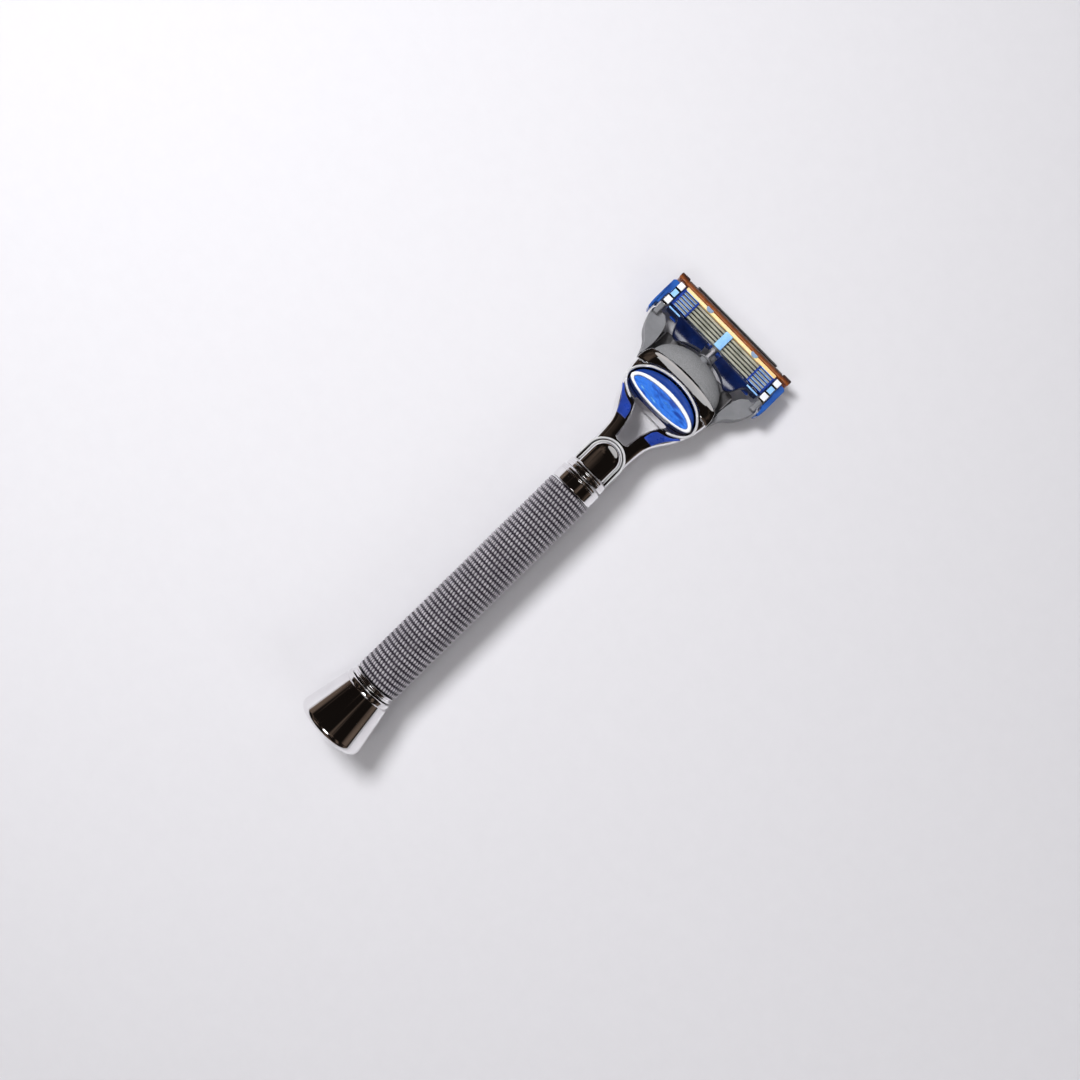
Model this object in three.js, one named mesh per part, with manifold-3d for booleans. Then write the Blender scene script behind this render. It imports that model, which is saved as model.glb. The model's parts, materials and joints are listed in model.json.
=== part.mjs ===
// Cartridge razor with a knurled tube handle, lying on its back with the blades up.
// Millimetres. +Y runs along the handle from foot to head, +X across, +Z out of the blade face.
// The origin is the centre of the foot's end face, on the handle's axis.
import * as THREE from 'three';
import { mergeVertices } from 'three/addons/utils/BufferGeometryUtils.js';
import Module from 'manifold-3d';

const wasm = await Module();
wasm.setup();

// ---------------------------------------------------------------- driving dimensions
const SEAM = 0.3; // gap kept between two pieces that touch
const TURNED_SIDES = 40; // facets round the turned pieces
const SMALL_SIDES = 20; // facets round the small turned pieces
const SPLINE_STEPS = 4; // straight pieces between two points of a smooth outline

// Handle, from the foot up
const PAD_RADIUS = 6.2;
const PAD_THICKNESS = 1.2;
const PAD_PROUD = 0.3;
const FOOT_LENGTH = 16.7;
const FOOT_BASE_RADIUS = 10.15;
const FOOT_TOP_RADIUS = 7.3;
const FOOT_CORNER = 2;
const FOOT_RIM = 1;
const SCREW_RADIUS = 2;
const SCREW_HEAD_RADIUS = 3.9;
const SCREW_HEAD_LENGTH = 3.6;
const SCREW_LENGTH = 21.5;
const SCREW_SOCKET_RADIUS = 2.3;
const RING_LENGTH = 1.6;
const RING_RADIUS = 6.8;
const RING_WAIST_RADIUS = 6.3;
const GRIP_LENGTH = 72;
const GRIP_RADIUS = 6.85;
const GRIP_WALL = 1.6;
const GRIP_CHAMFER = 0.4;
const SPIGOT_RADIUS = 4.6;
const SPIGOT_DEPTH = 3;
const SEAL_WALL = 0.45;
const SEAL_HEIGHT = 1;
const ROD_RADIUS = 2.7;
const ROD_TOP_SHORT = 11.2; // how far the rod ends below the grip's top
const NUT_RADIUS = 4.4;
const NUT_LENGTH = 11;
const WEIGHT_LENGTH = 40;
const WEIGHT_START = 11;
const COLLAR_LENGTH = 4.4;
const COLLAR_RADIUS = 6.7;
const BAND_LENGTH = 2.3;
const BAND_RADIUS = 6.35;
const STUD_RADIUS = 3;

// Head: its own frame starts at the neck and leans back from the handle's axis
const HEAD_LEAN = 8;
const YOKE_BOTTOM = -4.6;
const YOKE_TOP = 3.2;
const YOKE_NECK_HALF = 6;
const YOKE_WAIST_HALF = 5.75;
const YOKE_WAIST_Y = 9;
const YOKE_FLARE_HALF = 6.6; // where the two arms begin to part
const YOKE_FLARE_Y = 15.4;
const YOKE_SPREAD_HALF = 10.3; // halfway along the arms
const YOKE_SPREAD_Y = 21.8;
const YOKE_HALF = 13.1;
const YOKE_HALF_Y = 30.8;
const YOKE_SHOULDER_HALF = 12.6;
const YOKE_SHOULDER_Y = 34.6;
const YOKE_FRONT_Y = 37;
const NECK_OVERRUN = 2; // how far the leaning head runs into the handle before it is cut flush
const YOKE_EDGE = 1;
const WINDOW_START_Y = 11.6;
const WINDOW_END_Y = 23.8;
const WINDOW_START_HALF = 1.9;
const WINDOW_END_HALF = 6.1;
const WINDOW_FLARE = 2.2; // power of the curve along which the window widens
const TONGUE_RADIUS = 4.9;
const TONGUE_CENTRE_Y = 4.9;
const TONGUE_TOP = 5.4;
const TONGUE_EDGE = 1.4;
const TONGUE_GROOVE = 0.5;
const TONGUE_SEAT = 1;

// Release button
const BUTTON_TRAVEL = 2;
const BUTTON_HALF = 11;
const BUTTON_START_Y = 23.6;
const BUTTON_WIDEST_Y = 26.2;
const BUTTON_END_Y = 30.2;
const BUTTON_TOP = 4.1;
const BUTTON_EDGE = 0.3;
const BUTTON_INSET = 0.2; // how far the button's body stays inside its ring
const BUTTON_FLOOR = 0.7;
const SKIRT_HALF = 11.1;
const SKIRT_WIDEST_Y = 27;
const SKIRT_END_Y = 33.2;
const SKIRT_TOP = 2.9;
const RING_BAND = 1.1;
const RING_TOP = 5.2;
const PAD_TOP = 5;
const BEZEL_HALF = 12.3;
const BEZEL_WIDEST_Y = 26.7;
const BEZEL_START_Y = 20.5;
const BEZEL_END_Y = 34.2;
const BEZEL_BAND = 0.7;
const BEZEL_TOP = 4.6;
const BROW_START_Y = 30.5;
const BROW_TOP = 4.8;
const INLAY_START_Y = 17.4;
const INLAY_END_Y = 23.2;
const INLAY_INNER_END_Y = 20.5;
const INLAY_START_SPAN = [3.7, 7.2]; // inner and outer distance from the middle at the start
const INLAY_END_SPAN = [5.1, 11.2];
const INLAY_BEND = 0.5; // how far each side bows away from the straight line
const INLAY_DEPTH = 0.6;
const INLAY_PROUD = 0.5;
const STEM_HALF = 2;
const STEM_START_Y = 26;
const STEM_LENGTH = 2.5;
const FORK_HALF = 5;
const FORK_LENGTH = 3.6;
const TINE_WIDTH = 2;
const TINE_LENGTH = 1.6;
const SPRING_ROOM = 0.65; // half the width and height of the button's spring hollow
const SPRING_RADIUS = 0.5;
const SPRING_WIRE = 0.12;
const SPRING_TURNS = 6;

// Docking nose of the cartridge carrier, and the socket that takes it
const NOSE_HALF = 7;
const NOSE_START_Y = 32;
const NOSE_BOTTOM = -2.6;
const NOSE_TOP = -1.2;
const SOCKET_START_Y = 25;

// Carrier
const CARRIER_BOTTOM = -4.1;
const CARRIER_BLOCK_HALF = 10;
const CARRIER_BLOCK_END_Y = 43.8;
const CARRIER_BLOCK_CORNER = 2.5;
const CARRIER_BLOCK_EDGE = 0.5;
const WEB_BOTTOM = -2.4;
const WEB_TOP = 0.6;
const ARM_TOP = 2.4;
const ARM_ROOT_Y = 32.4;
const ARM_OUTER_BENDS = [[15, 35.9], [17.8, 38.9]]; // x and y that the outer edge passes
const ARM_INNER_BENDS = [[14.2, 43.5], [13.1, 41.4], [11.6, 39.5]];
const ARM_TIP_HALF = 19.7;
const ARM_TIP_Y = 43.1;
const ARM_END_Y = 45;
const ARM_END_INNER = 16;
const WEB_START_HALF = 13;
const WEB_WIDE_HALF = 15;
const WEB_WIDE_Y = 42;
const WEB_END_HALF = 9;
const WEB_END_Y = 44;
const DOME_HALF = 11.7;
const DOME_BASE_Y = 36;
const DOME_DEPTH = 8.2;
const DOME_GAP = 0.5; // between the dome's back and the yoke's front
const DOME_BOTTOM = -0.9;
const DOME_TOP = 4.9;
const DOME_OVER = 0.8; // how far the crown's ellipsoid reaches past the outline

// Pivot of the cartridge on the carrier's arms
const PIVOT_Y = 47.3;
const PIVOT_Z = 2.8;
const EYE_RADIUS = 1.3;
const EYE_RISE_LENGTH = 2; // how far before the arm's end it starts to rise to the eye
const EYE_INNER = 17.75;
const EYE_OUTER = 19.3;
const PIN_RADIUS = 0.75;
const PIN_REACH = 1.2;
const RUNNING_GAP = 0.3;

// Plunger that returns the cartridge
const PLUNGER_Z = 0.8;
const PLUNGER_RADIUS = 0.6;
const PLUNGER_TIP_Y = 48.7;
const PLUNGER_HEAD_RADIUS = 1.15;
const PLUNGER_HEAD_Y = 40.8;
const PLUNGER_HEAD_LENGTH = 0.8;
const PLUNGER_BORE_RADIUS = 1.6;
const PLUNGER_BORE_START_Y = 38.4;
const BUSH_LENGTH = 1.6;
const BUSH_FLANGE_RADIUS = 2.1;
const BUSH_FLANGE_LENGTH = 0.4;
const RETURN_SPRING_RADIUS = 0.9;
const RETURN_SPRING_WIRE = 0.15;
const RETURN_SPRING_TURNS = 4;

// Cartridge
const FACE = 4.8; // height of the blade edges in the head's frame
const BLADE_COUNT = 5;
const BLADE_PITCH = 1.05;
const BLADE_HALF = 16.8;
const FIRST_EDGE_Y = 47.9;
const BLADE_WIDTH = 0.72;
const BLADE_DROP = 0.28;
const BLADE_STOCK = 0.25;
const BLADE_DEPTH = 2.6;
const BLADE_EDGE = 0.1; // thickness of the cutting strip
const HOUSING_BOTTOM = -0.8;
const HOUSING_TOP = 4.3;
const HOUSING_START_Y = 47.7;
const TRAY_FLOOR = 1.2;
const TRAY_CLEARANCE = 0.2;
const TRAY_WALL = 0.4;
const HOUSING_END_Y = 54.1;
const RAIL_OUTER = 21.3;
const RAIL_INNER = 19.6;
const RAIL_START_Y = 42.4;
const RAIL_START_INNER = 20.1;
const RAIL_FLOOR = 0.4;
const RAIL_ROOT_Y = 49.3; // where the rail joins the tray's end, past the arm's eye
const RAIL_END_CHAMFER = 0.6;
const RAIL_SET_BACK = 0.4; // how far the rails end before the housing does
const SLOT_EDGE = 0.4; // rim left round the rinse slots
const MIDDLE_RIB_HALF = 1.8;
const SIDE_RIB = [11, 12]; // the rib between two rinse slots, from the middle plane out
const PLUNGER_ROOM_HALF = 1.6;
const GUARD_SHELF_HALF = 15;
const SHELF_START_Y = 45.7;
const SHELF_THICKNESS = 0.5;
const GUARD_BOTTOM = 1.6;
const GUARD_NOTCH_HALF = 2.4;
const GUARD_END_Y = 47.4;
const GUARD_LOBE_X = 8.5;
const GUARD_LOBE_Y = 41.8;
const GUARD_NOTCH_Y = 43; // where the notch beside the plunger opens into the lobe
const GUARD_BAR_WIDTH = 1.2;
const GUARD_LOBE_WIDTH = 4.2; // from the lobe's lowest point out to the bar
const GUARD_LOBE_THICKNESS = 1.1;
const CLIP_CENTRE = 18.35;
const CLIP_WIDTH = 2;
const CLIP_THICKNESS = 0.45;
const CLIP_START_Y = 46;
const STRIP_HALF = 16.9;
const STRIP_WIDTH = 1.1;
const STRIP_TOP = 5.15;
const STRIP_DEPTH = 1.4;
const STRIP_GAP = 0.1;
const CAP_HALF = 20.8;
const CAP_WIDTH = 1.8;
const CAP_BOTTOM = 0.5;
const CAP_TOP = 5.2;
const STAY_HALF = 1.25;
const STAY_THICKNESS = 0.4;
const TRIMMER_HALF = 15;
const TRIMMER_THICKNESS = 0.4;
const TRIMMER_DROP = 1.4;
const TRIMMER_GUARD_DEPTH = 1.6;

// ---------------------------------------------------------------- materials
const finish = (color, roughness, metalness) =>
  new THREE.MeshStandardMaterial({ color, roughness, metalness });
const chrome = () => finish(0xd6d6da, 0.08, 1);
const knurledSteel = () => finish(0xb6b3bd, 0.32, 1);
const plainSteel = () => finish(0xa9abaf, 0.35, 1);
const brass = () => finish(0xb08d4a, 0.4, 1);
const bladeSteel = () => finish(0xa9a890, 0.3, 1);
const clipMetal = () => finish(0xf0f2f4, 0.25, 1);
const blackRubber = () => finish(0x16161a, 0.8, 0);
const navyPlastic = () => finish(0x12235c, 0.35, 0);
const navyRubber = () => finish(0x0a1640, 0.4, 0);
const bluePlastic = () => finish(0x2f6fd8, 0.4, 0);
const paleBluePlastic = () => finish(0x9fcfff, 0.4, 0);
const whitePlastic = () => finish(0xf4f6fa, 0.35, 0);
const greyPlastic = () => finish(0x8a8b90, 0.55, 0);
const greyElastomer = () => finish(0x7c7d80, 0.75, 0);
const stripGel = () => finish(0xffdf9a, 0.5, 0);
const copperPlastic = () => finish(0x9a5530, 0.35, 0);

// ---------------------------------------------------------------- solids
// A closed geometry as a solid that can be joined and cut.
function solid(geometry) {
  const bare = new THREE.BufferGeometry().setAttribute(
    'position',
    (geometry.index ? geometry.toNonIndexed() : geometry).getAttribute('position'),
  );
  const merged = mergeVertices(bare, 1e-4);
  return new wasm.Manifold(
    new wasm.Mesh({
      numProp: 3,
      vertProperties: new Float32Array(merged.attributes.position.array),
      triVerts: new Uint32Array(merged.index.array),
    }),
  );
}

// A solid's surface as a geometry.
function surface(body) {
  const mesh = body.getMesh();
  const geometry = new THREE.BufferGeometry();
  geometry.setAttribute('position', new THREE.BufferAttribute(mesh.vertProperties, 3));
  geometry.setIndex(new THREE.BufferAttribute(mesh.triVerts, 1));
  return geometry;
}

// A block given by its lowest and highest corners.
function block(x0, x1, y0, y1, z0, z1) {
  const box = new THREE.BoxGeometry(x1 - x0, y1 - y0, z1 - z0);
  return solid(box.translate((x0 + x1) / 2, (y0 + y1) / 2, (z0 + z1) / 2));
}

// The same block on both sides of the middle plane, joined to one solid.
function bothSides(x0, x1, y0, y1, z0, z1) {
  return block(x0, x1, y0, y1, z0, z1).add(block(-x1, -x0, y0, y1, z0, z1));
}

// The same outline as straight pieces, with doubled points left out.
function polygon(shape, curveSegments) {
  const points = shape.getPoints(curveSegments);
  const apart = (p, i) => p.distanceTo(points[(i + 1) % points.length]) > 0.01;
  return new THREE.Shape(points.filter(apart));
}

// A flat plate between two heights, its outer edges rounded off by `edge`.
function plate(shape, z0, z1, edge = 0, curveSegments = 10) {
  const geometry = new THREE.ExtrudeGeometry(polygon(shape, curveSegments), {
    depth: z1 - z0 - 2 * edge,
    bevelEnabled: edge > 0,
    bevelThickness: edge,
    bevelSize: edge,
    bevelOffset: -edge,
    bevelSegments: 2,
  });
  return solid(geometry.translate(0, 0, z0 + edge));
}

// A side outline, given in (y, z), drawn out along X.
function sidePlate(points, x0, x1) {
  const shape = new THREE.Shape(points.map(([y, z]) => new THREE.Vector2(y, z)));
  const geometry = new THREE.ExtrudeGeometry(shape, { depth: x1 - x0, bevelEnabled: false });
  geometry.rotateX(Math.PI / 2).rotateZ(Math.PI / 2);
  return solid(geometry.translate(x0, 0, 0));
}

// A solid of revolution about the Y axis, from (radius, y) points.
function turned(points, sides = TURNED_SIDES) {
  const profile = points.map(([r, y]) => new THREE.Vector2(r, y));
  return solid(new THREE.LatheGeometry(profile, sides));
}

// A plain ring about the Y axis.
function ring(inner, outer, y0, y1, sides = TURNED_SIDES) {
  return turned([[inner, y0], [outer, y0], [outer, y1], [inner, y1], [inner, y0]], sides);
}

// A plain rod about the Y axis.
function rod(radius, y0, y1, sides = SMALL_SIDES) {
  return turned([[0, y0], [radius, y0], [radius, y1], [0, y1]], sides);
}

// A rod along X at a given place.
function crossRod(radius, x0, x1, y, z, sides = SMALL_SIDES) {
  const cylinder = new THREE.CylinderGeometry(radius, radius, x1 - x0, sides);
  cylinder.rotateZ(Math.PI / 2);
  return solid(cylinder.translate((x0 + x1) / 2, y, z));
}

// A coil spring about the Y axis.
function coil(radius, wire, y0, y1, turns) {
  class Helix extends THREE.Curve {
    getPoint(t, target = new THREE.Vector3()) {
      const angle = 2 * Math.PI * turns * t;
      return target.set(radius * Math.cos(angle), y0 + (y1 - y0) * t, radius * Math.sin(angle));
    }
  }
  const section = new THREE.Shape().absarc(0, 0, wire, 0, 2 * Math.PI);
  const geometry = new THREE.ExtrudeGeometry(section, {
    steps: 12 * turns,
    curveSegments: 3,
    extrudePath: new Helix(),
  });
  return solid(geometry);
}

// An oval whose front and back halves have different depths.
function oval(half, start, widest, end, grow = 0) {
  const shape = new THREE.Shape();
  shape.absellipse(0, widest, half + grow, end - widest + grow, 0, Math.PI);
  shape.absellipse(0, widest, half + grow, widest - start + grow, Math.PI, 2 * Math.PI);
  return shape;
}

// Right-hand points of an outline that is the same on both sides, as a closed shape.
// `right` runs from the back of the piece to its front.
function mirrored(right) {
  const shape = new THREE.Shape();
  const points = right.map(([x, y]) => new THREE.Vector2(x, y));
  const back = right.map(([x, y]) => new THREE.Vector2(-x, y)).reverse();
  shape.moveTo(points[0].x, points[0].y);
  shape.splineThru(points.slice(1));
  shape.lineTo(back[0].x, back[0].y);
  shape.splineThru(back.slice(1));
  shape.closePath();
  return shape;
}

// ---------------------------------------------------------------- the assembly
const razor = new THREE.Group();
razor.name = 'cartridge_razor';
const head = new THREE.Group();
razor.add(head);

function put(parent, name, body, material) {
  const mesh = new THREE.Mesh(surface(body), material);
  mesh.name = name;
  parent.add(mesh);
}

// Stations along the handle
const footEnd = FOOT_LENGTH;
const ringStart = footEnd + SEAM;
const ringEnd = ringStart + RING_LENGTH;
const gripStart = ringEnd + SEAM;
const gripEnd = gripStart + GRIP_LENGTH;
const collarStart = gripEnd + SEAM;
const collarEnd = collarStart + COLLAR_LENGTH;
const bandStart = collarEnd + SEAM;
const neckEnd = bandStart + BAND_LENGTH;
const gripBore = GRIP_RADIUS - GRIP_WALL;
const studBore = STUD_RADIUS + SEAM;
const rodStart = ringEnd;
const rodEnd = gripEnd - ROD_TOP_SHORT;

head.position.y = neckEnd;
head.rotation.x = THREE.MathUtils.degToRad(-HEAD_LEAN);
head.updateMatrixWorld(true);
const toHead = head.matrixWorld.clone().invert();

// A solid made in the handle's frame, as the head's frame sees it.
function inHead(body) {
  return solid(surface(body).applyMatrix4(toHead));
}

// ---------------------------------------------------------------- foot
function foot() {
  const padSeat = PAD_THICKNESS + SEAM;
  const headSeat = padSeat + SCREW_HEAD_LENGTH + 2 * SEAM;
  const corner = [];
  for (let i = 0; i <= 4; i++) {
    const a = (i / 4) * (Math.PI / 2);
    corner.push([
      FOOT_BASE_RADIUS - FOOT_CORNER * (1 - Math.sin(a)),
      PAD_PROUD + FOOT_CORNER * (1 - Math.cos(a)),
    ]);
  }
  const screwBore = SCREW_RADIUS + SEAM;
  const headBore = SCREW_HEAD_RADIUS + SEAM;
  const padBore = PAD_RADIUS + SEAM;
  return turned([
    [screwBore, headSeat],
    [headBore, headSeat],
    [headBore, padSeat],
    [padBore, padSeat],
    [padBore, PAD_PROUD],
    ...corner,
    [FOOT_TOP_RADIUS, footEnd - FOOT_RIM],
    [FOOT_TOP_RADIUS, footEnd],
    [screwBore, footEnd],
    [screwBore, headSeat],
  ]);
}

function footScrew() {
  const start = PAD_THICKNESS + 2 * SEAM;
  const shoulder = start + SCREW_HEAD_LENGTH;
  const body = turned(
    [
      [0, start],
      [SCREW_HEAD_RADIUS, start],
      [SCREW_HEAD_RADIUS, shoulder],
      [SCREW_RADIUS, shoulder],
      [SCREW_RADIUS, start + SCREW_LENGTH],
      [0, start + SCREW_LENGTH],
    ],
    SMALL_SIDES,
  );
  const socketDepth = SCREW_HEAD_LENGTH / 2;
  return body.subtract(rod(SCREW_SOCKET_RADIUS, start - 1, start + socketDepth, 6));
}

put(razor, 'foot', foot(), chrome());
put(razor, 'foot_pad', rod(PAD_RADIUS, 0, PAD_THICKNESS, TURNED_SIDES), blackRubber());
put(razor, 'foot_screw', footScrew(), plainSteel());

// ---------------------------------------------------------------- grip and what it holds
function neckRing() {
  const middle = (ringStart + ringEnd) / 2;
  const bore = ROD_RADIUS + SEAM;
  return turned([
    [bore, ringStart],
    [RING_RADIUS, ringStart],
    [RING_WAIST_RADIUS, middle],
    [RING_RADIUS, ringEnd],
    [SPIGOT_RADIUS, ringEnd],
    [SPIGOT_RADIUS, ringEnd + SPIGOT_DEPTH],
    [bore, ringEnd + SPIGOT_DEPTH],
    [bore, ringStart],
  ]);
}

function gripSleeve() {
  const c = GRIP_CHAMFER;
  return turned([
    [gripBore, gripStart],
    [GRIP_RADIUS - c, gripStart],
    [GRIP_RADIUS, gripStart + c],
    [GRIP_RADIUS, gripEnd - c],
    [GRIP_RADIUS - c, gripEnd],
    [gripBore, gripEnd],
    [gripBore, gripStart],
  ]);
}

function seal(y) {
  const inner = (SPIGOT_RADIUS + gripBore - SEAL_WALL) / 2;
  return ring(inner, inner + SEAL_WALL, y, y + SEAL_HEIGHT);
}

function collar() {
  return turned([
    [studBore, collarStart - SPIGOT_DEPTH],
    [SPIGOT_RADIUS, collarStart - SPIGOT_DEPTH],
    [SPIGOT_RADIUS, collarStart],
    [COLLAR_RADIUS, collarStart],
    [COLLAR_RADIUS, collarEnd],
    [studBore, collarEnd],
    [studBore, collarStart - SPIGOT_DEPTH],
  ]);
}

function tieRod() {
  const tapped = SCREW_RADIUS + SEAM;
  const depth = PAD_THICKNESS + 3 * SEAM + SCREW_LENGTH - rodStart;
  return rod(ROD_RADIUS, rodStart, rodEnd).subtract(rod(tapped, rodStart - 1, rodStart + depth));
}

const nutEnd = collarStart - SPIGOT_DEPTH - SEAM;
const weightStart = gripStart + WEIGHT_START;
put(razor, 'neck_ring', neckRing(), chrome());
put(razor, 'grip_sleeve', gripSleeve(), knurledSteel());
put(razor, 'seal_lower', seal(gripStart + SEAM), blackRubber());
put(razor, 'seal_upper', seal(gripEnd - SEAM - SEAL_HEIGHT), blackRubber());
put(razor, 'tie_rod', tieRod(), plainSteel());
put(
  razor,
  'balance_weight',
  ring(ROD_RADIUS + SEAM, gripBore - SEAM, weightStart, weightStart + WEIGHT_LENGTH),
  brass(),
);
put(
  razor,
  'coupling_nut',
  ring(studBore, NUT_RADIUS, nutEnd - NUT_LENGTH, nutEnd, SMALL_SIDES),
  plainSteel(),
);
put(razor, 'collar', collar(), chrome());
put(razor, 'neck_band', ring(studBore, BAND_RADIUS, bandStart, neckEnd), chrome());

// ---------------------------------------------------------------- yoke
function yokeOutline() {
  const right = [
    [YOKE_NECK_HALF, -NECK_OVERRUN],
    [YOKE_WAIST_HALF, YOKE_WAIST_Y],
    [YOKE_FLARE_HALF, YOKE_FLARE_Y],
    [YOKE_SPREAD_HALF, YOKE_SPREAD_Y],
    [YOKE_HALF, YOKE_HALF_Y],
    [YOKE_SHOULDER_HALF, YOKE_SHOULDER_Y],
  ].map(([x, y]) => new THREE.Vector2(x, y));
  const left = right.map((p) => new THREE.Vector2(-p.x, p.y)).reverse();
  const shape = new THREE.Shape();
  shape.moveTo(right[0].x, right[0].y);
  shape.splineThru(right.slice(1));
  frontArc(shape, YOKE_SHOULDER_HALF, YOKE_SHOULDER_Y, YOKE_FRONT_Y);
  shape.splineThru(left.slice(1));
  shape.closePath();
  return shape;
}

// A shallow arc from the right shoulder to the left one, whose middle reaches `peak`.
function frontArc(shape, half, y, peak) {
  shape.quadraticCurveTo(0, 2 * peak - y, -half, y);
}

const windowHalfAt = (t) =>
  WINDOW_START_HALF + (WINDOW_END_HALF - WINDOW_START_HALF) * t ** WINDOW_FLARE;

function windowOutline() {
  const right = [0, 0.25, 0.5, 0.75, 1].map((t) => [
    windowHalfAt(t),
    WINDOW_START_Y + (WINDOW_END_Y - WINDOW_START_Y) * t,
  ]);
  return mirrored(right);
}

// Round-ended outline that the neck's tongue and its seat share.
function tongueOutline(radius) {
  const shape = new THREE.Shape();
  shape.moveTo(radius, 0);
  shape.lineTo(radius, TONGUE_CENTRE_Y);
  shape.absarc(0, TONGUE_CENTRE_Y, radius, 0, Math.PI);
  shape.lineTo(-radius, 0);
  shape.closePath();
  return shape;
}

const buttonOval = (grow) =>
  oval(BUTTON_HALF, BUTTON_START_Y, BUTTON_WIDEST_Y, BUTTON_END_Y, grow);
const skirtOval = (grow) =>
  oval(SKIRT_HALF, BUTTON_START_Y, SKIRT_WIDEST_Y, SKIRT_END_Y, grow);
const bezelOval = (grow) =>
  oval(BEZEL_HALF, BEZEL_START_Y, BEZEL_WIDEST_Y, BEZEL_END_Y, grow);

function inlayOutline(side, grow) {
  const shape = new THREE.Shape();
  const start = INLAY_START_Y - grow;
  const [startIn, startOut] = [INLAY_START_SPAN[0] - grow, INLAY_START_SPAN[1] + grow];
  const [endIn, endOut] = [INLAY_END_SPAN[0] - grow, INLAY_END_SPAN[1] + grow];
  const outerEnd = INLAY_END_Y + grow;
  const innerEnd = INLAY_INNER_END_Y + grow;
  const bowed = (x0, y0, x1, y1) =>
    shape.quadraticCurveTo(
      side * ((x0 + x1) / 2 - INLAY_BEND), (y0 + y1) / 2,
      side * x1, y1,
    );
  shape.moveTo(side * startOut, start);
  bowed(startOut, start, endOut, outerEnd);
  bowed(endOut, outerEnd, endIn, innerEnd);
  bowed(endIn, innerEnd, startIn, start);
  shape.closePath();
  return shape;
}

function headYoke() {
  const high = YOKE_TOP + 2;
  let body = plate(yokeOutline(), YOKE_BOTTOM, YOKE_TOP, YOKE_EDGE, SPLINE_STEPS);
  body = body.subtract(plate(windowOutline(), YOKE_BOTTOM - 1, high, 0, SPLINE_STEPS));
  body = body.subtract(plate(bezelOval(-BEZEL_BAND), BUTTON_FLOOR, high));
  const skirtRoom = plate(skirtOval(SEAM), BUTTON_FLOOR, SKIRT_TOP + SEAM);
  body = body.subtract(skirtRoom).subtract(skirtRoom.translate([0, BUTTON_TRAVEL, 0]));
  body = body.subtract(
    block(
      -NOSE_HALF - SEAM, NOSE_HALF + SEAM,
      SOCKET_START_Y, YOKE_FRONT_Y + 2,
      NOSE_BOTTOM - SEAM, NOSE_TOP + SEAM,
    ),
  );
  body = body.subtract(
    block(
      -STEM_HALF - SEAM, STEM_HALF + SEAM,
      STEM_START_Y - SEAM, STEM_START_Y + STEM_LENGTH + BUTTON_TRAVEL + SEAM,
      NOSE_TOP, BUTTON_FLOOR + 1,
    ),
  );
  for (const side of [-1, 1]) {
    body = body.subtract(plate(inlayOutline(side, SEAM), YOKE_TOP - INLAY_DEPTH, high));
  }
  const behindNeck = block(-20, 20, neckEnd - 20, neckEnd + SEAM, -20, 20);
  body = body.subtract(inHead(behindNeck));
  body = body.add(inHead(rod(STUD_RADIUS, rodEnd + SEAM, neckEnd + 3)));
  return body.subtract(plate(tongueOutline(TONGUE_RADIUS + TONGUE_GROOVE), TONGUE_SEAT, high));
}

function neckTongue() {
  const seated = plate(
    tongueOutline(TONGUE_RADIUS),
    TONGUE_SEAT + SEAM - TONGUE_EDGE,
    TONGUE_TOP,
    TONGUE_EDGE,
  );
  const below = block(-20, 20, -5, 20, -20, TONGUE_SEAT + SEAM);
  const behindNeck = block(-20, 20, neckEnd - 20, neckEnd + SEAM, -20, 20);
  return seated.subtract(below).subtract(inHead(behindNeck));
}

function armInlay(side) {
  const bottom = YOKE_TOP - INLAY_DEPTH + SEAM;
  return plate(inlayOutline(side, 0), bottom, YOKE_TOP + INLAY_PROUD);
}

function buttonBezel() {
  const bottom = YOKE_TOP + SEAM;
  const full = plate(bezelOval(0), bottom, BEZEL_TOP);
  const opening = plate(bezelOval(-BEZEL_BAND), bottom - 1, BEZEL_TOP + 1);
  const mouth = WINDOW_END_HALF - BEZEL_BAND;
  return full
    .subtract(opening)
    .subtract(block(-mouth, mouth, BEZEL_START_Y - 1, BEZEL_WIDEST_Y, 0, 10));
}

function headBrow() {
  const full = plate(yokeOutline(), YOKE_TOP + SEAM - YOKE_EDGE, BROW_TOP, YOKE_EDGE, SPLINE_STEPS);
  const keep = block(-20, 20, BROW_START_Y, 50, YOKE_TOP + SEAM, 10);
  return full.intersect(keep).subtract(plate(bezelOval(SEAM), 0, 10));
}

put(head, 'head_yoke', headYoke(), chrome());
put(head, 'neck_tongue', neckTongue(), chrome());
put(head, 'arm_inlay_left', armInlay(-1), navyPlastic());
put(head, 'arm_inlay_right', armInlay(1), navyPlastic());
put(head, 'button_bezel', buttonBezel(), chrome());
put(head, 'head_brow', headBrow(), chrome());

// ---------------------------------------------------------------- release button
const springAxisZ = BUTTON_FLOOR + SEAM + SPRING_ROOM;
const springStartY = STEM_START_Y + STEM_LENGTH + SEAM;
const springEndY = SKIRT_END_Y + BUTTON_TRAVEL;

function buttonBody() {
  const bottom = BUTTON_FLOOR + SEAM;
  const raised = plate(buttonOval(-BUTTON_INSET), bottom, BUTTON_TOP, BUTTON_EDGE);
  const skirt = plate(skirtOval(-BUTTON_INSET), bottom, SKIRT_TOP, BUTTON_EDGE);
  const stem = block(
    -STEM_HALF, STEM_HALF,
    STEM_START_Y, STEM_START_Y + STEM_LENGTH,
    NOSE_TOP + SEAM, bottom + 1,
  );
  const hollow = block(
    -SPRING_ROOM - SEAM, SPRING_ROOM + SEAM,
    springStartY - SEAM, SKIRT_END_Y + 1,
    0, springAxisZ + SPRING_ROOM + SEAM,
  );
  return raised.add(skirt).add(stem).subtract(hollow);
}

function buttonRing() {
  const bottom = BUTTON_TOP + SEAM;
  const outer = plate(buttonOval(0), bottom, RING_TOP, BUTTON_EDGE);
  return outer.subtract(plate(buttonOval(-RING_BAND), bottom - 1, RING_TOP + 1));
}

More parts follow.
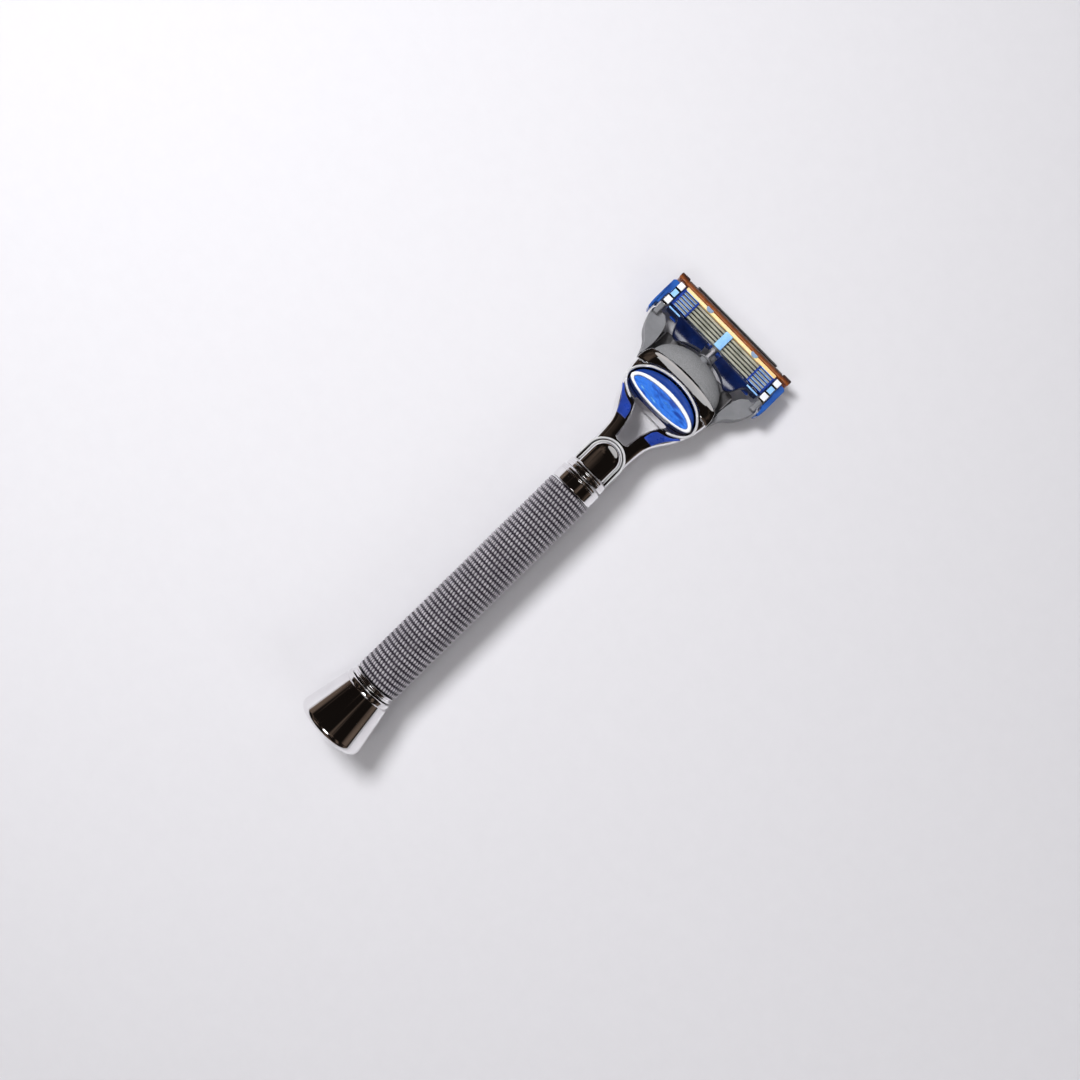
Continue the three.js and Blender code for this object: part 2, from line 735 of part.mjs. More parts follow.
function buttonPad() {
  return plate(buttonOval(-RING_BAND - SEAM), BUTTON_TOP + SEAM, PAD_TOP, BUTTON_EDGE);
}

// Fork that pushes the carrier's nose; its tines stop short of the nose until the travel ends.
function ejectorFork() {
  const front = NOSE_START_Y - BUTTON_TRAVEL - SEAM;
  const full = block(-FORK_HALF, FORK_HALF, front - FORK_LENGTH, front, NOSE_BOTTOM, NOSE_TOP);
  const between = FORK_HALF - TINE_WIDTH;
  return full.subtract(block(-between, between, front - TINE_LENGTH, front + 1, -10, 10));
}

put(head, 'button_body', buttonBody(), navyPlastic());
put(head, 'button_ring', buttonRing(), whitePlastic());
put(head, 'button_pad', buttonPad(), bluePlastic());
put(head, 'ejector_fork', ejectorFork(), whitePlastic());
put(
  head,
  'button_spring',
  coil(SPRING_RADIUS, SPRING_WIRE, springStartY, springEndY - SEAM, SPRING_TURNS)
    .translate([0, 0, springAxisZ]),
  plainSteel(),
);

// ---------------------------------------------------------------- cartridge carrier
// Outline of the soft dome: its back follows the yoke's front, its front is half an ellipse.
function domeOutline(grow) {
  const half = DOME_HALF + grow;
  const back = DOME_BASE_Y - grow;
  const middle = YOKE_FRONT_Y + DOME_GAP - grow;
  const shape = new THREE.Shape();
  shape.moveTo(half, back);
  shape.lineTo(half, DOME_BASE_Y);
  shape.absellipse(0, DOME_BASE_Y, half, DOME_DEPTH + grow, 0, Math.PI);
  shape.lineTo(-half, back);
  shape.quadraticCurveTo(0, 2 * middle - back, half, back);
  return shape;
}

// One arm seen from above, from the tip beside the yoke to the end that carries the cartridge.
function armOutline() {
  const shape = new THREE.Shape();
  const root = YOKE_HALF + SEAM;
  const through = (points) =>
    shape.splineThru(points.map(([x, y]) => new THREE.Vector2(x, y)));
  shape.moveTo(root, ARM_ROOT_Y);
  through([...ARM_OUTER_BENDS, [ARM_TIP_HALF, ARM_TIP_Y], [EYE_OUTER, ARM_END_Y]]);
  shape.lineTo(ARM_END_INNER, ARM_END_Y);
  through(ARM_INNER_BENDS);
  shape.lineTo(root - 0.5, YOKE_SHOULDER_Y + 1);
  shape.closePath();
  return shape;
}

// Thin floor of the carrier between the arms, under the dome and the guard's lobes.
function webOutline() {
  const start = YOKE_SHOULDER_Y + 1;
  const shape = new THREE.Shape();
  const shoulder = (WEB_WIDE_HALF + WEB_END_HALF) / 2 + SEAM;
  shape.moveTo(WEB_START_HALF, start);
  shape.lineTo(WEB_WIDE_HALF, WEB_WIDE_Y);
  shape.quadraticCurveTo(shoulder, WEB_END_Y + SEAM, WEB_END_HALF, WEB_END_Y);
  shape.lineTo(-WEB_END_HALF, WEB_END_Y);
  shape.quadraticCurveTo(-shoulder, WEB_END_Y + SEAM, -WEB_WIDE_HALF, WEB_WIDE_Y);
  shape.lineTo(-WEB_START_HALF, start);
  shape.quadraticCurveTo(0, 2 * (YOKE_FRONT_Y + 2 * SEAM) - start, WEB_START_HALF, start);
  return shape;
}

// The end of an arm, seen from the side: it rises to an eye at the pivot and ends in a pin.
function armEnd(side) {
  const span = side > 0 ? [EYE_INNER, EYE_OUTER] : [-EYE_OUTER, -EYE_INNER];
  const riseStart = ARM_END_Y - EYE_RISE_LENGTH;
  const rise = sidePlate(
    [
      [riseStart, 0],
      [PIVOT_Y, PIVOT_Z - EYE_RADIUS],
      [PIVOT_Y, PIVOT_Z + EYE_RADIUS],
      [ARM_END_Y - EYE_RISE_LENGTH / 2, ARM_TOP],
      [riseStart, ARM_TOP],
    ],
    ...span,
  );
  const eye = crossRod(EYE_RADIUS, ...span, PIVOT_Y, PIVOT_Z);
  const reach = EYE_OUTER + PIN_REACH;
  const pinSpan = side > 0 ? [EYE_INNER, reach] : [-reach, -EYE_INNER];
  return rise.add(eye).add(crossRod(PIN_RADIUS, ...pinSpan, PIVOT_Y, PIVOT_Z));
}

function carrierFrame() {
  const arm = plate(armOutline(), WEB_BOTTOM, ARM_TOP, 0, SPLINE_STEPS);
  let body = plate(webOutline(), WEB_BOTTOM, WEB_TOP);
  body = body.add(arm).add(arm.mirror([1, 0, 0]));
  body = body.subtract(plate(domeOutline(SEAM), DOME_BOTTOM - SEAM, DOME_TOP + 1));
  const seat = new THREE.Shape();
  const start = YOKE_FRONT_Y + 2 * SEAM;
  const [half, end, corner] = [CARRIER_BLOCK_HALF, CARRIER_BLOCK_END_Y, CARRIER_BLOCK_CORNER];
  seat.moveTo(half, start);
  seat.lineTo(half, end - corner);
  seat.quadraticCurveTo(half, end, half - corner, end);
  seat.lineTo(corner - half, end);
  seat.quadraticCurveTo(-half, end, -half, end - corner);
  seat.lineTo(-half, start);
  seat.closePath();
  body = body.add(plate(seat, CARRIER_BOTTOM, NOSE_TOP, CARRIER_BLOCK_EDGE));
  body = body.add(
    block(-NOSE_HALF, NOSE_HALF, NOSE_START_Y, YOKE_FRONT_Y + 2, NOSE_BOTTOM, NOSE_TOP),
  );
  return body.add(armEnd(-1)).add(armEnd(1));
}

const domeEnd = DOME_BASE_Y + DOME_DEPTH;
const onPlunger = (body) => body.translate([0, 0, PLUNGER_Z]);

function domeBoot() {
  const full = plate(domeOutline(0), DOME_BOTTOM, DOME_TOP + 1);
  const crown = new THREE.SphereGeometry(1, 32, 20);
  crown.scale(DOME_HALF + DOME_OVER, DOME_DEPTH + DOME_OVER, DOME_TOP - DOME_BOTTOM);
  crown.translate(0, DOME_BASE_Y, DOME_BOTTOM);
  const bore = onPlunger(rod(PLUNGER_BORE_RADIUS, PLUNGER_BORE_START_Y, domeEnd + 1));
  return full.intersect(solid(crown)).subtract(bore);
}

function plungerBush() {
  const inner = PLUNGER_RADIUS + SEAM;
  const sleeve = PLUNGER_BORE_RADIUS - SEAM;
  const flange = domeEnd + SEAM;
  return onPlunger(
    turned(
      [
        [inner, flange - BUSH_LENGTH],
        [sleeve, flange - BUSH_LENGTH],
        [sleeve, flange],
        [BUSH_FLANGE_RADIUS, flange],
        [BUSH_FLANGE_RADIUS, flange + BUSH_FLANGE_LENGTH],
        [inner, flange + BUSH_FLANGE_LENGTH],
        [inner, flange - BUSH_LENGTH],
      ],
      SMALL_SIDES,
    ),
  );
}

function plunger() {
  const headEnd = PLUNGER_HEAD_Y + PLUNGER_HEAD_LENGTH;
  const round = [];
  for (let i = 0; i <= 4; i++) {
    const a = (i / 4) * (Math.PI / 2);
    round.push([
      PLUNGER_RADIUS * Math.cos(a),
      PLUNGER_TIP_Y - PLUNGER_RADIUS * (1 - Math.sin(a)),
    ]);
  }
  round[4][0] = 0;
  return onPlunger(
    turned(
      [
        [0, PLUNGER_HEAD_Y],
        [PLUNGER_HEAD_RADIUS, PLUNGER_HEAD_Y],
        [PLUNGER_HEAD_RADIUS, headEnd],
        [PLUNGER_RADIUS, headEnd],
        ...round,
      ],
      SMALL_SIDES,
    ),
  );
}

put(head, 'carrier_frame', carrierFrame(), greyPlastic());
put(head, 'dome_boot', domeBoot(), greyElastomer());
put(head, 'plunger_bush', plungerBush(), greyPlastic());
put(head, 'plunger', plunger(), greyPlastic());
put(
  head,
  'plunger_spring',
  onPlunger(
    coil(
      RETURN_SPRING_RADIUS, RETURN_SPRING_WIRE,
      PLUNGER_BORE_START_Y + SEAM, PLUNGER_HEAD_Y - SEAM,
      RETURN_SPRING_TURNS,
    ),
  ),
  plainSteel(),
);

// ---------------------------------------------------------------- cartridge
const trayHalf = BLADE_HALF + TRAY_CLEARANCE;
const trayStart = FIRST_EDGE_Y - TRAY_CLEARANCE;
const lastEdgeY = FIRST_EDGE_Y + BLADE_PITCH * (BLADE_COUNT - 1);
const trayEnd = lastEdgeY + BLADE_WIDTH + TRAY_CLEARANCE;
const capStart = HOUSING_END_Y + SEAM;
const capEnd = capStart + CAP_WIDTH;

function railOutline() {
  const shape = new THREE.Shape();
  const end = HOUSING_END_Y - RAIL_SET_BACK;
  shape.moveTo(trayHalf, RAIL_ROOT_Y);
  shape.lineTo(RAIL_INNER, RAIL_ROOT_Y);
  shape.lineTo(RAIL_INNER, ARM_END_Y + RAIL_END_CHAMFER);
  shape.lineTo(RAIL_START_INNER, ARM_END_Y);
  shape.lineTo(RAIL_START_INNER, RAIL_START_Y);
  shape.quadraticCurveTo(RAIL_OUTER, RAIL_START_Y, RAIL_OUTER, ARM_END_Y + 1);
  shape.lineTo(RAIL_OUTER, end - RAIL_END_CHAMFER);
  shape.lineTo(RAIL_OUTER - RAIL_END_CHAMFER, end);
  shape.lineTo(trayHalf, end);
  shape.closePath();
  return shape;
}

function cartridgeHousing() {
  const rail = plate(railOutline(), RAIL_FLOOR, HOUSING_TOP);
  let body = block(
    -trayHalf - TRAY_WALL, trayHalf + TRAY_WALL,
    HOUSING_START_Y, HOUSING_END_Y,
    HOUSING_BOTTOM, HOUSING_TOP,
  );
  body = body.add(rail).add(rail.mirror([1, 0, 0]));
  const shelfTop = GUARD_BOTTOM - SEAM;
  body = body.add(
    bothSides(
      GUARD_NOTCH_HALF, GUARD_SHELF_HALF,
      SHELF_START_Y, HOUSING_START_Y + 1,
      shelfTop - SHELF_THICKNESS, shelfTop,
    ),
  );
  // tray for the blades
  body = body.subtract(block(-trayHalf, trayHalf, trayStart, trayEnd, TRAY_FLOOR, FACE + 1));
  // seat of the strip
  body = body.subtract(
    block(
      -STRIP_HALF - SEAM, STRIP_HALF + SEAM,
      trayEnd - 1, HOUSING_END_Y + 1,
      STRIP_TOP - STRIP_DEPTH - SEAM, FACE + 1,
    ),
  );
  // rinse slots, two each side of the middle rib
  const slots = [[MIDDLE_RIB_HALF, SIDE_RIB[0]], [SIDE_RIB[1], trayHalf - 2 * SLOT_EDGE]];
  for (const [from, to] of slots) {
    body = body.subtract(
      bothSides(
        from, to,
        trayStart + SLOT_EDGE, trayEnd - SLOT_EDGE,
        HOUSING_BOTTOM - 1, TRAY_FLOOR + 1,
      ),
    );
  }
  // room for the plunger, which bears on the middle rib
  const camY = PLUNGER_TIP_Y + SEAM;
  body = body.subtract(
    block(
      -PLUNGER_ROOM_HALF, PLUNGER_ROOM_HALF,
      HOUSING_START_Y - 1, camY,
      HOUSING_BOTTOM - 1, FACE + 1,
    ),
  );
  // bores for the carrier's pins
  const boreEnd = EYE_OUTER + PIN_REACH + RUNNING_GAP;
  for (const span of [[RAIL_INNER - 1, boreEnd], [-boreEnd, 1 - RAIL_INNER]]) {
    body = body.subtract(crossRod(PIN_RADIUS + RUNNING_GAP, ...span, PIVOT_Y, PIVOT_Z));
  }
  return body;
}

// Section of a bent blade: a sloping cutting strip on an upright leg.
function blade(index) {
  const y = FIRST_EDGE_Y + BLADE_PITCH * index;
  const legBack = y + BLADE_WIDTH;
  const legFront = legBack - BLADE_STOCK;
  return sidePlate(
    [
      [y, FACE],
      [y, FACE - BLADE_EDGE],
      [legFront, FACE - BLADE_DROP - BLADE_EDGE],
      [legFront, FACE - BLADE_DEPTH],
      [legBack, FACE - BLADE_DEPTH],
      [legBack, FACE - BLADE_DROP],
    ].reverse(),
    -BLADE_HALF,
    BLADE_HALF,
  );
}

// Half of the soft guard: a bar before the blades and a lobe that hangs beside the dome.
function guardOutline(side) {
  const shape = new THREE.Shape();
  const end = trayHalf;
  shape.moveTo(side * GUARD_NOTCH_HALF, GUARD_END_Y);
  const outer = GUARD_LOBE_X + GUARD_LOBE_WIDTH;
  const barStart = GUARD_END_Y - GUARD_BAR_WIDTH;
  shape.lineTo(side * GUARD_NOTCH_HALF, GUARD_NOTCH_Y);
  shape.quadraticCurveTo(side * (GUARD_LOBE_X - 2.5), GUARD_LOBE_Y, side * GUARD_LOBE_X, GUARD_LOBE_Y);
  shape.bezierCurveTo(
    side * (GUARD_LOBE_X + GUARD_LOBE_WIDTH / 2), GUARD_LOBE_Y,
    side * (outer - 1), GUARD_LOBE_Y + 1.6,
    side * outer, barStart - 0.6,
  );
  shape.lineTo(side * end, barStart);
  shape.lineTo(side * end, GUARD_END_Y);
  shape.closePath();
  return shape;
}

function guard(side) {
  const full = plate(guardOutline(side), GUARD_BOTTOM, FACE - 0.1);
  const aboveSlope = sidePlate(
    [
      [GUARD_END_Y - 1, FACE],
      [GUARD_END_Y - 1, FACE - 0.2],
      [GUARD_LOBE_Y - 1, GUARD_BOTTOM + GUARD_LOBE_THICKNESS],
      [GUARD_LOBE_Y - 1, FACE],
    ].reverse(),
    -20,
    20,
  );
  return full
    .subtract(aboveSlope)
    .subtract(plate(domeOutline(SEAM + 0.15), 0, 10));
}

function endClip(side) {
  const x0 = side * CLIP_CENTRE - CLIP_WIDTH / 2;
  const x1 = x0 + CLIP_WIDTH;
  const bottom = HOUSING_TOP + SEAM;
  const end = HOUSING_END_Y - RAIL_SET_BACK + SEAM;
  const top = bottom + CLIP_THICKNESS;
  return block(x0, x1, CLIP_START_Y, end, bottom, top);
}

function bladeStay() {
  const bottom = FACE + SEAM;
  const top = bottom + STAY_THICKNESS;
  return block(-STAY_HALF, STAY_HALF, trayStart, trayEnd, bottom, top);
}

function stripHolder() {
  return block(-CAP_HALF, CAP_HALF, capStart, capEnd, CAP_BOTTOM, CAP_TOP);
}

put(head, 'cartridge_housing', cartridgeHousing(), navyPlastic());
for (let i = 0; i < BLADE_COUNT; i++) {
  put(head, `blade_${i + 1}`, blade(i), bladeSteel());
}
put(head, 'guard_left', guard(-1), navyRubber());
put(head, 'guard_right', guard(1), navyRubber());
put(head, 'clip_left', endClip(-1), clipMetal());
put(head, 'clip_right', endClip(1), clipMetal());
put(head, 'blade_stay', bladeStay(), paleBluePlastic());
put(
  head,
  'lubricating_strip',
  block(
    -STRIP_HALF, STRIP_HALF,
    trayEnd + STRIP_GAP, trayEnd + STRIP_GAP + STRIP_WIDTH,
    STRIP_TOP - STRIP_DEPTH, STRIP_TOP,
  ),
  stripGel(),
);
put(head, 'strip_holder', stripHolder(), copperPlastic());
put(
  head,
  'trimmer_blade',
  block(
    -TRIMMER_HALF, TRIMMER_HALF,
    capEnd + SEAM, capEnd + SEAM + TRIMMER_THICKNESS,
    CAP_BOTTOM, CAP_TOP - TRIMMER_DROP,
  ),
  bladeSteel(),
);
put(
  head,
  'trimmer_guard',
  block(
    -TRIMMER_HALF, TRIMMER_HALF,
    capStart, capEnd + SEAM + TRIMMER_THICKNESS,
    CAP_BOTTOM - SEAM - TRIMMER_GUARD_DEPTH, CAP_BOTTOM - SEAM,
  ),
  navyPlastic(),
);

export default razor;
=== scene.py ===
"""Visual model of a cartridge razor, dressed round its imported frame.

Sizes are in millimetres. Pieces of the handle are modelled in the row's frame, and pieces of
the head in the head's own frame, which starts at the neck and leans back; both are brought to
metres in the row's frame when a piece is finished.
"""
import json
import logging
import math
from dataclasses import dataclass
from enum import Enum
from typing import Any, Iterable, Optional, Sequence, Union

import bmesh
import bpy
from mathutils import Matrix, Vector


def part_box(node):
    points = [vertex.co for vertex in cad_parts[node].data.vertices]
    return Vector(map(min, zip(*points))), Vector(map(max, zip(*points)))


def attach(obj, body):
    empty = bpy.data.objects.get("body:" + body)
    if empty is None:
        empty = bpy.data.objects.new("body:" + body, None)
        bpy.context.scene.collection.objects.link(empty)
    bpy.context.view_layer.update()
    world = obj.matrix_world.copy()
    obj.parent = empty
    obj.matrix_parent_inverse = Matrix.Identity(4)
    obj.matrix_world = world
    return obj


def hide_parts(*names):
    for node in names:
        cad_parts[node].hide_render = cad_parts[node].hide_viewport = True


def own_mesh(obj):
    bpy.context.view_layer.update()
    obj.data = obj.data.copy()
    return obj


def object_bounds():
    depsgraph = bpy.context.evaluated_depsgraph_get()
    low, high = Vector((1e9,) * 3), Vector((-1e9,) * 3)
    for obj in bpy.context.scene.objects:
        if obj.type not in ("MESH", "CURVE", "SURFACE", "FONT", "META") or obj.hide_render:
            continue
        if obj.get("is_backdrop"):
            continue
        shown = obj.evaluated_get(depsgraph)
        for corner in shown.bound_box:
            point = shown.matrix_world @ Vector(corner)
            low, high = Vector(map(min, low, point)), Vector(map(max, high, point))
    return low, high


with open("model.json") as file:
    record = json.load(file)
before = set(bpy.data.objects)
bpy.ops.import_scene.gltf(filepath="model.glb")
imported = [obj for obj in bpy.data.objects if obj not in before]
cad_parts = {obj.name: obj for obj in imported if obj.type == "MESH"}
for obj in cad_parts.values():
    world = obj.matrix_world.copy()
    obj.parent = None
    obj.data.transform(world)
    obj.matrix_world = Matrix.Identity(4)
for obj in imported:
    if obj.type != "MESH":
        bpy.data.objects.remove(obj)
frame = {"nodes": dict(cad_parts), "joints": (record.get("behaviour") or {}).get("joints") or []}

LOG = logging.getLogger("razor")
MM = 0.001
TINY = 1e-6  # millimetres; nearer than this is the same place
MERGE = 1e-4  # millimetres; vertices nearer than this become one

Point = tuple[float, float]
Level = tuple[Sequence[Point], float]  # an outline and its height
Colour = tuple[float, float, float]
Value = Union[float, "Socket"]


# --------------------------------------------------------------------------- shader maths
class Socket:
    """An output of a shader node that can be used in Python expressions."""

    def __init__(self, graph: "Graph", output: bpy.types.NodeSocket) -> None:
        """Wraps one output of a node of the graph."""
        self.graph = graph
        self.output = output

    def __add__(self, other: Value) -> "Socket":
        """Sum."""
        return self.graph.math("ADD", self, other)

    __radd__ = __add__

    def __sub__(self, other: Value) -> "Socket":
        """Difference."""
        return self.graph.math("SUBTRACT", self, other)

    def __rsub__(self, other: Value) -> "Socket":
        """Difference with the socket on the right."""
        return self.graph.math("SUBTRACT", other, self)

    def __mul__(self, other: Value) -> "Socket":
        """Product."""
        return self.graph.math("MULTIPLY", self, other)

    __rmul__ = __mul__

    def __pow__(self, other: Value) -> "Socket":
        """Power."""
        return self.graph.math("POWER", self, other)


class Graph:
    """The node tree of one material, built by calls that return sockets."""

    def __init__(self, name: str) -> None:
        """Starts an empty material.

        Args:
            name: the material's name.
        """
        self.material = bpy.data.materials.new(name)
        self.material.use_nodes = True
        self.tree = self.material.node_tree
        self.tree.nodes.clear()
        self.place = self.socket("ShaderNodeTexCoord", {}, {}, "Object")

    def node(self, kind: str, settings: dict[str, Any], inputs: dict[Any, Any]) -> bpy.types.Node:
        """Adds a node.

        Args:
            kind: Blender's name of the node type.
            settings: the node's own settings, set first; "stops" fills a colour ramp.
            inputs: values or sockets by input name or number.

        Returns:
            The new node.
        """
        made = self.tree.nodes.new(kind)
        for key, value in settings.items():
            if key == "stops":
                self._stops(made.color_ramp, value)
            else:
                setattr(made, key, value)
        for key, value in inputs.items():
            if isinstance(value, Socket):
                self.tree.links.new(value.output, made.inputs[key])
            else:
                made.inputs[key].default_value = value
        return made

    @staticmethod
    def _stops(ramp: bpy.types.ColorRamp, stops: Sequence[tuple[float, Colour]]) -> None:
        """Puts the given positions and colours on a colour ramp."""
        while len(ramp.elements) < len(stops):
            ramp.elements.new(1.0)
        for element, (position, colour) in zip(ramp.elements, stops):
            element.position = position
            element.color = (*colour, 1.0)

    def socket(self, kind: str, settings: dict, inputs: dict, output: Any = 0) -> Socket:
        """Adds a node and wraps one of its outputs."""
        return Socket(self, self.node(kind, settings, inputs).outputs[output])

    def math(self, operation: str, a: Value, b: Value = 0.0) -> Socket:
        """One Math node on two values."""
        return self.socket("ShaderNodeMath", {"operation": operation}, {0: a, 1: b})

    def scaled(self, x: float, y: float, z: float) -> Socket:
        """The object's coordinates stretched by a factor along each axis."""
        return self.socket(
            "ShaderNodeMapping", {}, {"Vector": self.place, "Scale": (x, y, z)}
        )

    def noise(self, scale: float, detail: float = 2.0, at: Optional[Socket] = None) -> Socket:
        """Cloudy noise from 0 to 1; scale is in features per metre."""
        inputs = {"Vector": at or self.place, "Scale": scale, "Detail": detail}
        return self.socket("ShaderNodeTexNoise", {}, inputs, "Fac")

    def cells(self, scale: float, at: Optional[Socket] = None) -> Socket:
        """Distance to the nearest cell centre of a cell pattern."""
        inputs = {"Vector": at or self.place, "Scale": scale}
        return self.socket("ShaderNodeTexVoronoi", {}, inputs, "Distance")

    def remap(self, value: Socket, low: float, high: float, to_low: float, to_high: float) -> Socket:
        """Stretches a value from one range to another and holds it there."""
        inputs = {0: value, 1: low, 2: high, 3: to_low, 4: to_high}
        return self.socket("ShaderNodeMapRange", {"clamp": True}, inputs)

    def blend(self, factor: Value, a: Union[Colour, Socket], b: Union[Colour, Socket]) -> Socket:
        """Mixes two colours.

        Args:
            factor: share of the second colour.
            a: the first colour.
            b: the second colour.

        Returns:
            The mixed colour.
        """
        a = a if isinstance(a, Socket) else (*a, 1.0)
        b = b if isinstance(b, Socket) else (*b, 1.0)
        settings = {"data_type": "RGBA"}
        return self.socket("ShaderNodeMix", settings, {0: factor, 6: a, 7: b}, 2)

    def edges(self) -> Socket:
        """Mask that is 1 on worn convex edges."""
        point = self.socket("ShaderNodeNewGeometry", {}, {}, "Pointiness")
        return self.remap(point, 0.51, 0.58, 0.0, 1.0)

    def bump(self, height: Socket, depth: float, strength: float = 1.0) -> Socket:
        """A surface normal raised by a height; depth is in metres."""
        inputs = {"Height": height, "Distance": depth, "Strength": strength}
        return self.socket("ShaderNodeBump", {}, inputs, "Normal")


@dataclass
class Look:
    """What a finish does over a surface: colour, roughness and an optional bump height."""

    colour: Union[Colour, Socket]
    roughness: Value
    height: Optional[Socket] = None


# --------------------------------------------------------------------------- finishes
@dataclass(frozen=True)
class Finish:
    """A moulded or machined surface; the constant values go straight to the shader."""

    name: str
    colour: Colour
    shade: Colour
    roughness: float = 0.4
    metallic: float = 0.0
    depth: float = 0.00001
    coat: float = 0.0
    sheen: float = 0.0
    alpha: float = 1.0
    subsurface: float = 0.0

    def look(self, g: Graph) -> Look:
        """Cloudy tone, rubbed edges and a fine moulded grain.

        Args:
            g: the material's graph.

        Returns:
            The look over the surface.
        """
        cloud = g.noise(220.0, 4.0)
        grain = g.noise(6000.0, 3.0)
        tone = g.blend(g.remap(cloud, 0.3, 0.7, 0.0, 1.0), self.shade, self.colour)
        rubbed = g.edges() * g.remap(g.noise(900.0), 0.4, 0.7, 0.0, 0.35)
        paler = tuple(min(1.0, c * 1.5 + 0.04) for c in self.colour)
        tone = g.blend(rubbed, tone, paler)
        rough = g.remap(g.noise(700.0, 5.0), 0.2, 0.8, self.roughness * 0.8, self.roughness * 1.25)
        return Look(tone, rough, grain)

    def material(self) -> bpy.types.Material:
        """The finish as a Blender material, made once."""
        label = f"dressed_{self.name}"
        known = bpy.data.materials.get(label)
        if known:
            return known
        g = Graph(label)
        look = self.look(g)
        inputs: dict[str, Any] = {
            "Metallic": self.metallic,
            "Roughness": look.roughness,
            "Coat Weight": self.coat,
            "Coat Roughness": 0.12,
            "Sheen Weight": self.sheen,
            "Alpha": self.alpha,
            "Subsurface Weight": self.subsurface,
            "Subsurface Scale": 0.001,
        }
        colour = look.colour if isinstance(look.colour, Socket) else (*look.colour, 1.0)
        inputs["Base Color"] = colour
        if look.height is not None:
            inputs["Normal"] = g.bump(look.height, self.depth)
        shader = g.socket("ShaderNodeBsdfPrincipled", {}, inputs, "BSDF")
        g.node("ShaderNodeOutputMaterial", {}, {"Surface": shader})
        return g.material


@dataclass(frozen=True)
class Polished(Finish):
    """Mirror plate: hairline scratches one way, faint smudges, slightly dull edges."""

    metallic: float = 1.0

    def look(self, g: Graph) -> Look:
        """Scratches run round the piece and smudges lie over them.

        Args:
            g: the material's graph.

        Returns:
            The look over the surface.
        """
        hair = g.noise(260.0, 6.0, g.scaled(1.0, 22.0, 1.0))
        smudge = g.remap(g.noise(130.0, 5.0), 0.45, 0.75, 0.0, 1.0)
        tone = g.blend(smudge * 0.5, self.colour, self.shade)
        rough = self.roughness + smudge * 0.07 + g.remap(hair, 0.55, 0.8, 0.0, 0.05)
        return Look(tone, rough, hair)


@dataclass(frozen=True)
class Satin(Finish):
    """Satin plated steel, with painted shade low between the beads."""

    metallic: float = 0.5
    core_radius: float = 6.5
    bead_radius: float = 6.85

    def look(self, g: Graph) -> Look:
        """Tone follows the distance from the handle's axis, so grooves are darker: painted shade.

        Args:
            g: the material's graph.

        Returns:
            The look over the surface.
        """
        parts = g.node("ShaderNodeSeparateXYZ", {}, {0: g.place})
        x = Socket(g, parts.outputs["X"])
        z = Socket(g, parts.outputs["Z"])
        radius = (x * x + z * z) ** 0.5
        # painted shade: 0 deep in the grooves, 1 on the beads' crests
        crest = g.remap(radius, self.core_radius * MM, self.bead_radius * MM, 0.0, 1.0)
        patch = g.remap(g.noise(160.0, 4.0), 0.35, 0.65, 0.75, 1.0)
        tone = g.blend(crest * patch, self.shade, self.colour)
        rough = self.roughness + g.remap(g.noise(2500.0, 3.0), 0.3, 0.7, -0.06, 0.1)
        return Look(tone, rough, g.noise(9000.0, 2.0))


@dataclass(frozen=True)
class Ground(Finish):
    """Ground metal: fine lines along X."""

    metallic: float = 1.0

    def look(self, g: Graph) -> Look:
        """Lines stretched along X with a little tarnish.

        Args:
            g: the material's graph.

        Returns:
            The look over the surface.
        """
        lines = g.noise(900.0, 5.0, g.scaled(0.04, 6.0, 6.0))
        tarnish = g.remap(g.noise(300.0, 4.0), 0.4, 0.7, 0.0, 1.0)
        tone = g.blend(tarnish, self.colour, self.shade)
        rough = g.remap(lines, 0.3, 0.7, self.roughness * 0.75, self.roughness * 1.3)
        return Look(tone, rough, lines)


@dataclass(frozen=True)
class Stippled(Finish):
    """Soft elastomer with a fine spark-eroded stipple."""

    def look(self, g: Graph) -> Look:
        """Cells a quarter of a millimetre across, lighter on their tops.

        Args:
            g: the material's graph.

        Returns:
            The look over the surface.
        """
        pits = g.cells(3600.0)
        fine = g.noise(5200.0, 4.0)
        height = pits * 0.6 + fine * 0.6
        tone = g.blend(g.remap(height, 0.35, 0.75, 0.0, 1.0), self.colour, self.shade)
        wide = g.remap(g.noise(180.0, 3.0), 0.35, 0.65, 0.0, 0.35)
        tone = g.blend(wide, tone, self.shade)
        rough = g.remap(fine, 0.3, 0.7, self.roughness * 0.85, min(1.0, self.roughness * 1.15))
        return Look(tone, rough, height)


@dataclass(frozen=True)
class Rippled(Finish):
    """Glossy translucent plastic with swirled streaks."""

    def look(self, g: Graph) -> Look:
        """Long wavy streaks along X in three tones.

        Args:
            g: the material's graph.

        Returns:
            The look over the surface.
        """
        warp = g.noise(160.0, 3.0, g.scaled(0.4, 1.0, 1.0))
        bent = g.socket(
            "ShaderNodeVectorMath",
            {"operation": "MULTIPLY_ADD"},
            {0: self._as_vector(g, warp), 1: (0.0, 0.006, 0.006), 2: g.scaled(0.35, 1.0, 1.0)},
        )
        streak = g.noise(520.0, 3.0, bent)
        tone = g.socket(
            "ShaderNodeValToRGB",
            {
                "stops": [
                    (0.34, self.shade),
                    (0.48, self.colour),
                    (0.58, tuple(c * 0.7 for c in self.colour)),
                    (0.68, (0.25, 0.62, 0.95)),
                ]
            },
            {0: streak},
            "Color",
        )
        rough = g.remap(streak, 0.3, 0.7, self.roughness, self.roughness * 1.5)
        return Look(tone, rough, streak)

    @staticmethod
    def _as_vector(g: Graph, value: Socket) -> Socket:
        """The same number on all three axes."""
        return g.socket("ShaderNodeCombineXYZ", {}, {0: value, 1: value, 2: value})


